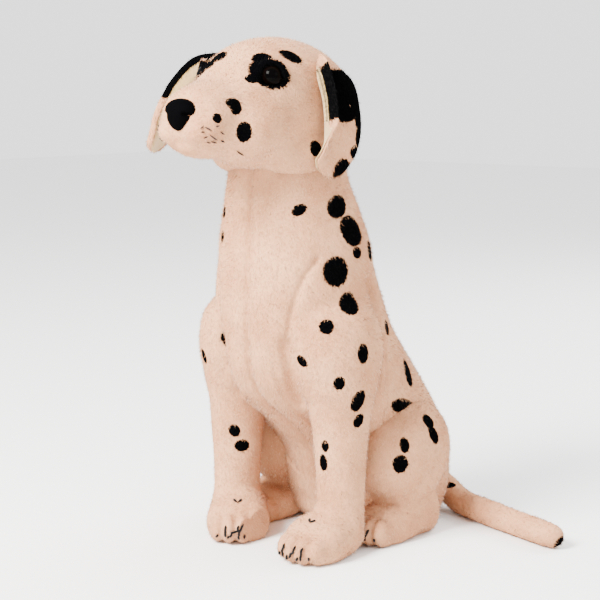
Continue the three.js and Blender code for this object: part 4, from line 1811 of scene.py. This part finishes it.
# ---------------------------------------------------------------------------
# Studio
# ---------------------------------------------------------------------------
@dataclass(frozen=True)
class Studio:
    """Floor, light and camera.

    Attributes:
        azimuth: The camera's bearing from the dog's front, toward its left, in degrees.
        distance: Its distance over the floor from the neck, in metres.
        height: Its height in metres.
        pitch: How far it looks down, in degrees.
        lens: Its focal length in millimetres.
        shift: How far it stands to its own right, in metres.
    """

    azimuth: float = 39.0
    distance: float = 1.70
    height: float = 0.466
    pitch: float = 7.5
    lens: float = 104.4
    shift: float = 0.012

    def build(self) -> None:
        """Sets up the studio."""
        self.floor()
        self.light("key", (-0.2, -2.0, 1.7), 0.9, 300.0, (1.0, 0.96, 0.92))
        self.light("fill", (2.0, -0.4, 1.2), 0.9, 8.0, (1.0, 0.94, 0.9))
        self.light("back", (0.3, 1.9, 1.6), 1.4, 70.0, (1.0, 1.0, 1.0))
        world = bpy.data.worlds.new("studio_world")
        world.use_nodes = True
        world.node_tree.nodes["Background"].inputs["Color"].default_value = (1, 1, 1, 1)
        world.node_tree.nodes["Background"].inputs["Strength"].default_value = 2.1
        bpy.context.scene.world = world
        self.camera()

    def floor(self) -> None:
        """Lays the pale floor."""
        corners = np.array([(-6, -6, 0), (6, -6, 0), (6, 6, 0), (-6, 6, 0)], float)
        floor = new_object("studio_floor", corners, np.array([[0, 1, 2, 3]]))
        recipe = Recipe("studio_floor_paint")
        recipe.set(Base_Color=(0.9, 0.9, 0.9), Roughness=0.9, Specular_IOR_Level=0.1)
        floor.data.materials.append(recipe.material)

    def light(self, name: str, at: Triple, size: float, power: float, colour: Rgb) -> None:
        """Hangs a square light that faces the dog."""
        data = bpy.data.lights.new("studio_" + name, "AREA")
        data.size = size
        data.energy = power
        data.color = colour
        lamp = bpy.data.objects.new("studio_" + name, data)
        lamp.location = at
        aim = Vector((0, -0.05, 0.25)) - Vector(at)
        lamp.rotation_euler = aim.to_track_quat("-Z", "Y").to_euler()
        bpy.context.scene.collection.objects.link(lamp)

    def camera(self) -> None:
        """Places the camera."""
        turn = math.radians(self.azimuth)
        data = bpy.data.cameras.new("studio_camera")
        data.lens = self.lens
        eye = bpy.data.objects.new("studio_camera", data)
        across = Vector((math.cos(turn), math.sin(turn), 0))
        out = Vector((math.sin(turn), -math.cos(turn), 0))
        neck = Vector(in_frame((0, 0, 0)))
        lifted = Vector((0, 0, self.height))
        eye.location = neck + out * self.distance + across * self.shift + lifted
        eye.rotation_euler = (math.radians(90 - self.pitch), 0, turn)
        bpy.context.scene.collection.objects.link(eye)
        bpy.context.scene.camera = eye


# ---------------------------------------------------------------------------
# Where the black patches lie, and the ears' stations
# ---------------------------------------------------------------------------
ELBOW_MARKS = (Mark((64, 0, 154), (0.95, -0.3, 0), (16, 23), -25),)
TRUNK_MARKS = ELBOW_MARKS + (
    around(-52, 336, 16, 11, 28),
    around(-20, 338, 22, 29, -62),
    around(-8, 314, 34, 30, -40),
    around(-5, 293, 14, 12),
    around(18, 292, 17, 22),
    around(-26, 277, 29, 30),
    around(-18, 245, 22, 26, -28),
    around(-36, 227, 15, 15),
    around(-16, 200, 14, 20),
    around(-52, 193, 15, 10, -35),
    around(-37, 173, 12, 14),
    around(28, 215, 14, 16),
    around(34, 165, 16, 30),
    around(13, 134, 42, 16, -15),
    around(-139, 252, 14, 13, -20),
    around(-119, 204, 20, 20, 25),
    around(-137, 184, 10, 15, 15),
    around(-144, 165, 12, 16),
    around(-123, 330, 12, 12),
    around(-122, 306, 10, 12),
    around(-165, 335, 20, 24, 10),
    around(176, 308, 26, 28),
    around(-172, 270, 24, 22, 20),
    around(168, 238, 20, 26),
    around(160, 206, 14, 14),
    around(-160, 222, 12, 14),
    around(150, 300, 14, 12),
    around(90, 322, 24, 26),
    around(116, 285, 14, 18, 20),
    around(66, 262, 18, 22),
    around(98, 240, 28, 24),
    around(130, 235, 12, 12),
    around(62, 205, 14, 18),
    around(122, 192, 18, 20, -20),
    around(92, 182, 20, 26, 20),
    around(74, 142, 14, 14),
    around(112, 128, 24, 20),
    around(88, 92, 22, 18),
    around(66, 70, 12, 14),
    around(120, 66, 14, 18),
    around(152, 140, 30, 12, 15),
)
LEFT_LEG_MARKS = ELBOW_MARKS + (
    Mark((64, 0, 134), (0.97, -0.2, 0), (12, 15), -35),
    Mark((66, 0, 109), (0.05, -1, 0), (9, 12), -10),
    Mark((66, 0, 92), (-0.1, -1, 0), (11, 17)),
    Mark((66, 0, 120), (-1, 0.2, 0), (10, 12)),
    Mark((66, 0, 88), (0.2, 1, 0), (12, 14)),
)
RIGHT_LEG_MARKS = (
    Mark((-66, 0, 108), (0.55, -0.84, 0), (12, 14), 25),
    Mark((-66, 0, 92), (0.78, -0.62, 0), (16, 13)),
    Mark((-66, 0, 132), (-1, -0.3, 0), (12, 16), 20),
    Mark((-66, 0, 84), (-0.9, 0.4, 0), (14, 14)),
    Mark((-66, 0, 112), (-0.2, 1, 0), (12, 10)),
)
LEFT_HIND_MARKS = (
    Mark((70, 97, 118), (1, 0.03, 0), (15, 17), 20),
    Mark((70, 99, 105), (1, 0.0, 0), (14, 20), 20),
    Mark((70, 63, 100), (1, -0.1, 0), (11, 16)),
    Mark((70, 57, 82), (1, -0.1, 0), (17, 19)),
    Mark((70, 130, 80), (0.7, 0.7, 0), (16, 20)),
    Mark((70, 120, 50), (0.8, 0.5, 0), (12, 12)),
)
RIGHT_HIND_MARKS = (
    Mark((-70, 90, 110), (-1, 0, 0.1), (20, 16), -20),
    Mark((-70, 62, 86), (-1, -0.1, 0), (16, 18)),
    Mark((-70, 108, 70), (-1, 0.1, 0), (12, 14)),
    Mark((-70, 130, 95), (-0.7, 0.7, 0), (14, 18)),
    Mark((-70, 80, 45), (-1, 0, 0), (10, 12)),
)
TAIL_MARKS = (
    Mark((62, 198, 26), (0.2, -0.6, 0.8), (14, 10)),
    Mark((110, 179, 14), (0.2, 0.8, 0.6), (20, 12)),
    Mark((175, 155, 13), (0.2, 0.8, 0.6), (16, 12)),
    Mark((224, 138, 9), (0.97, 0.15, -0.3), (16, 15)),
)
HEAD_MARKS = (
    Mark((22, -55, 459), (0.62, -0.77, 0.12), (42, 32), -14, 30.0),
    Mark((20, -74, 459), (0.6, -0.8, 0), (14, 10)),
    Mark((20, -64, 464), (0.56, -0.56, 0.65), (21, 18)),
    Mark((20, -45, 465), (0.75, -0.05, 0.5), (25, 15), -32),
    Mark((0, -118, 437), (1, -0.08, 0), (17, 11)),
    Mark((0, -116.5, 434), (1, -0.08, 0), (14, 15)),
    Mark((0, -139, 424), (1, -0.05, 0), (9.5, 9.5)),
    Mark((0, -112, 411), (1, -0.05, 0), (15, 20)),
    Mark((0, -32, 394), (1, 0, 0), (15, 16), 0.0, 18.0),
    Mark((-22, -54, 458), (-0.62, -0.77, 0.12), (40, 30), 14, 30.0),
    Mark((-20, -78, 460), (-0.3, -0.9, 0.1), (12, 16)),
    Mark((-17, -70, 461), (-0.3, -0.75, 0.4), (24, 18)),
    Mark((-12, -66, 462), (-0.2, -0.65, 0.7), (24, 17)),
    Mark((0, -116, 428), (-1, -0.05, 0), (13, 12)),
    Mark((0, -98, 404), (-1, 0, 0), (14, 18)),
    Mark((0, -40, 398), (-1, 0, 0), (16, 14)),
    Mark((-20, -30, 470), (-0.6, 0.1, 0.7), (18, 14)),
    Mark((-10, 40, 450), (-0.4, 0.5, 0.7), (22, 16)),
    Mark((0, 40, 440), (0.2, 1, 0.1), (18, 18)),
    Mark((10, 50, 415), (0.5, 1, -0.1), (13, 15)),
    Mark((0, 40, 425), (-0.7, 0.9, -0.1), (15, 13)),
)
LEFT_EAR_MARKS = (
    (0.2, -1.0, 26, 14),
    (0.26, -1.0, 30, 26),
    (0.34, -1.0, 30, 26),
    (0.42, -1.0, 30, 24),
    (0.21, -0.45, 34, 20),
    (0.27, -0.4, 38, 28),
    (0.35, -0.3, 40, 30),
    (0.2, 0.0, 28, 24),
    (0.3, 0.15, 36, 26),
    (0.2, 0.6, 28, 16),
    (0.27, 0.75, 28, 22),
    (0.33, 0.5, 26, 26),
    (0.35, 0.85, 24, 24),
    (0.42, -0.1, 44, 24),
    (0.44, 0.4, 26, 20),
    (0.42, 0.85, 12, 22),
    (0.5, 0.97, 12, 26),
    (0.6, 0.98, 10, 26),
    (0.69, 0.96, 13, 15),
    (0.86, 0.55, 20, 24),
)
RIGHT_EAR_MARKS = (
    (0.05, -0.85, 34, 26),
    (0.15, -0.9, 34, 26),
    (0.25, -0.9, 34, 26),
    (0.35, -0.9, 32, 26),
    (0.45, -0.9, 28, 22),
    (0.53, -0.85, 18, 16),
    (0.3, -0.1, 44, 36),
    (0.45, 0.5, 26, 26),
    (0.85, 0.3, 18, 20),
)
LEFT_EAR: Rows = (
    (52, -14, 464, 18, 0.15),
    (60, -19, 460, 23, 0.25),
    (68, -21, 443, 27, 0.35),
    (73, -22, 417, 27, 0.4),
    (73, -21, 394, 22, 0.4),
    (69, -19, 377, 16, 0.35),
    (66, -18, 367, 8, 0.35),
)
RIGHT_EAR: Rows = (
    (-55, -12, 471, 20, -0.1),
    (-71, -13, 471, 23, -0.1),
    (-89, -17, 463, 26, -0.15),
    (-109, -25, 441, 28, -0.2),
    (-125, -34, 415, 25, -0.2),
    (-135, -41, 396, 17, -0.2),
    (-140, -45, 386, 7, -0.2),
)


# ---------------------------------------------------------------------------
# Putting it together
# ---------------------------------------------------------------------------
def main() -> None:
    """Builds the dog and the studio."""
    logging.basicConfig(level=logging.INFO, format="%(name)s %(message)s")
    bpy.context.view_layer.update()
    palette = Palette().build()
    Trunk(marks=TRUNK_MARKS).build(palette)
    FrontLeg("left", (65, -18), 0.0, marks=LEFT_LEG_MARKS).build(palette)
    FrontLeg("right", (-56, -9), 36.0, marks=RIGHT_LEG_MARKS).build(palette)
    HindLeg("left", marks=LEFT_HIND_MARKS).build(palette)
    HindLeg("right", marks=RIGHT_HIND_MARKS).build(palette)
    Tail(marks=TAIL_MARKS).build(palette)
    Head(marks=HEAD_MARKS).build(palette)
    Ear("left", LEFT_EAR, 96.0, 0.12, marks=LEFT_EAR_MARKS).build(palette)
    Ear("right", RIGHT_EAR, 58.0, 0.3, marks=RIGHT_EAR_MARKS).build(palette)
    carry_over()
    Studio().build()


if __name__ == "__main__":
    main()
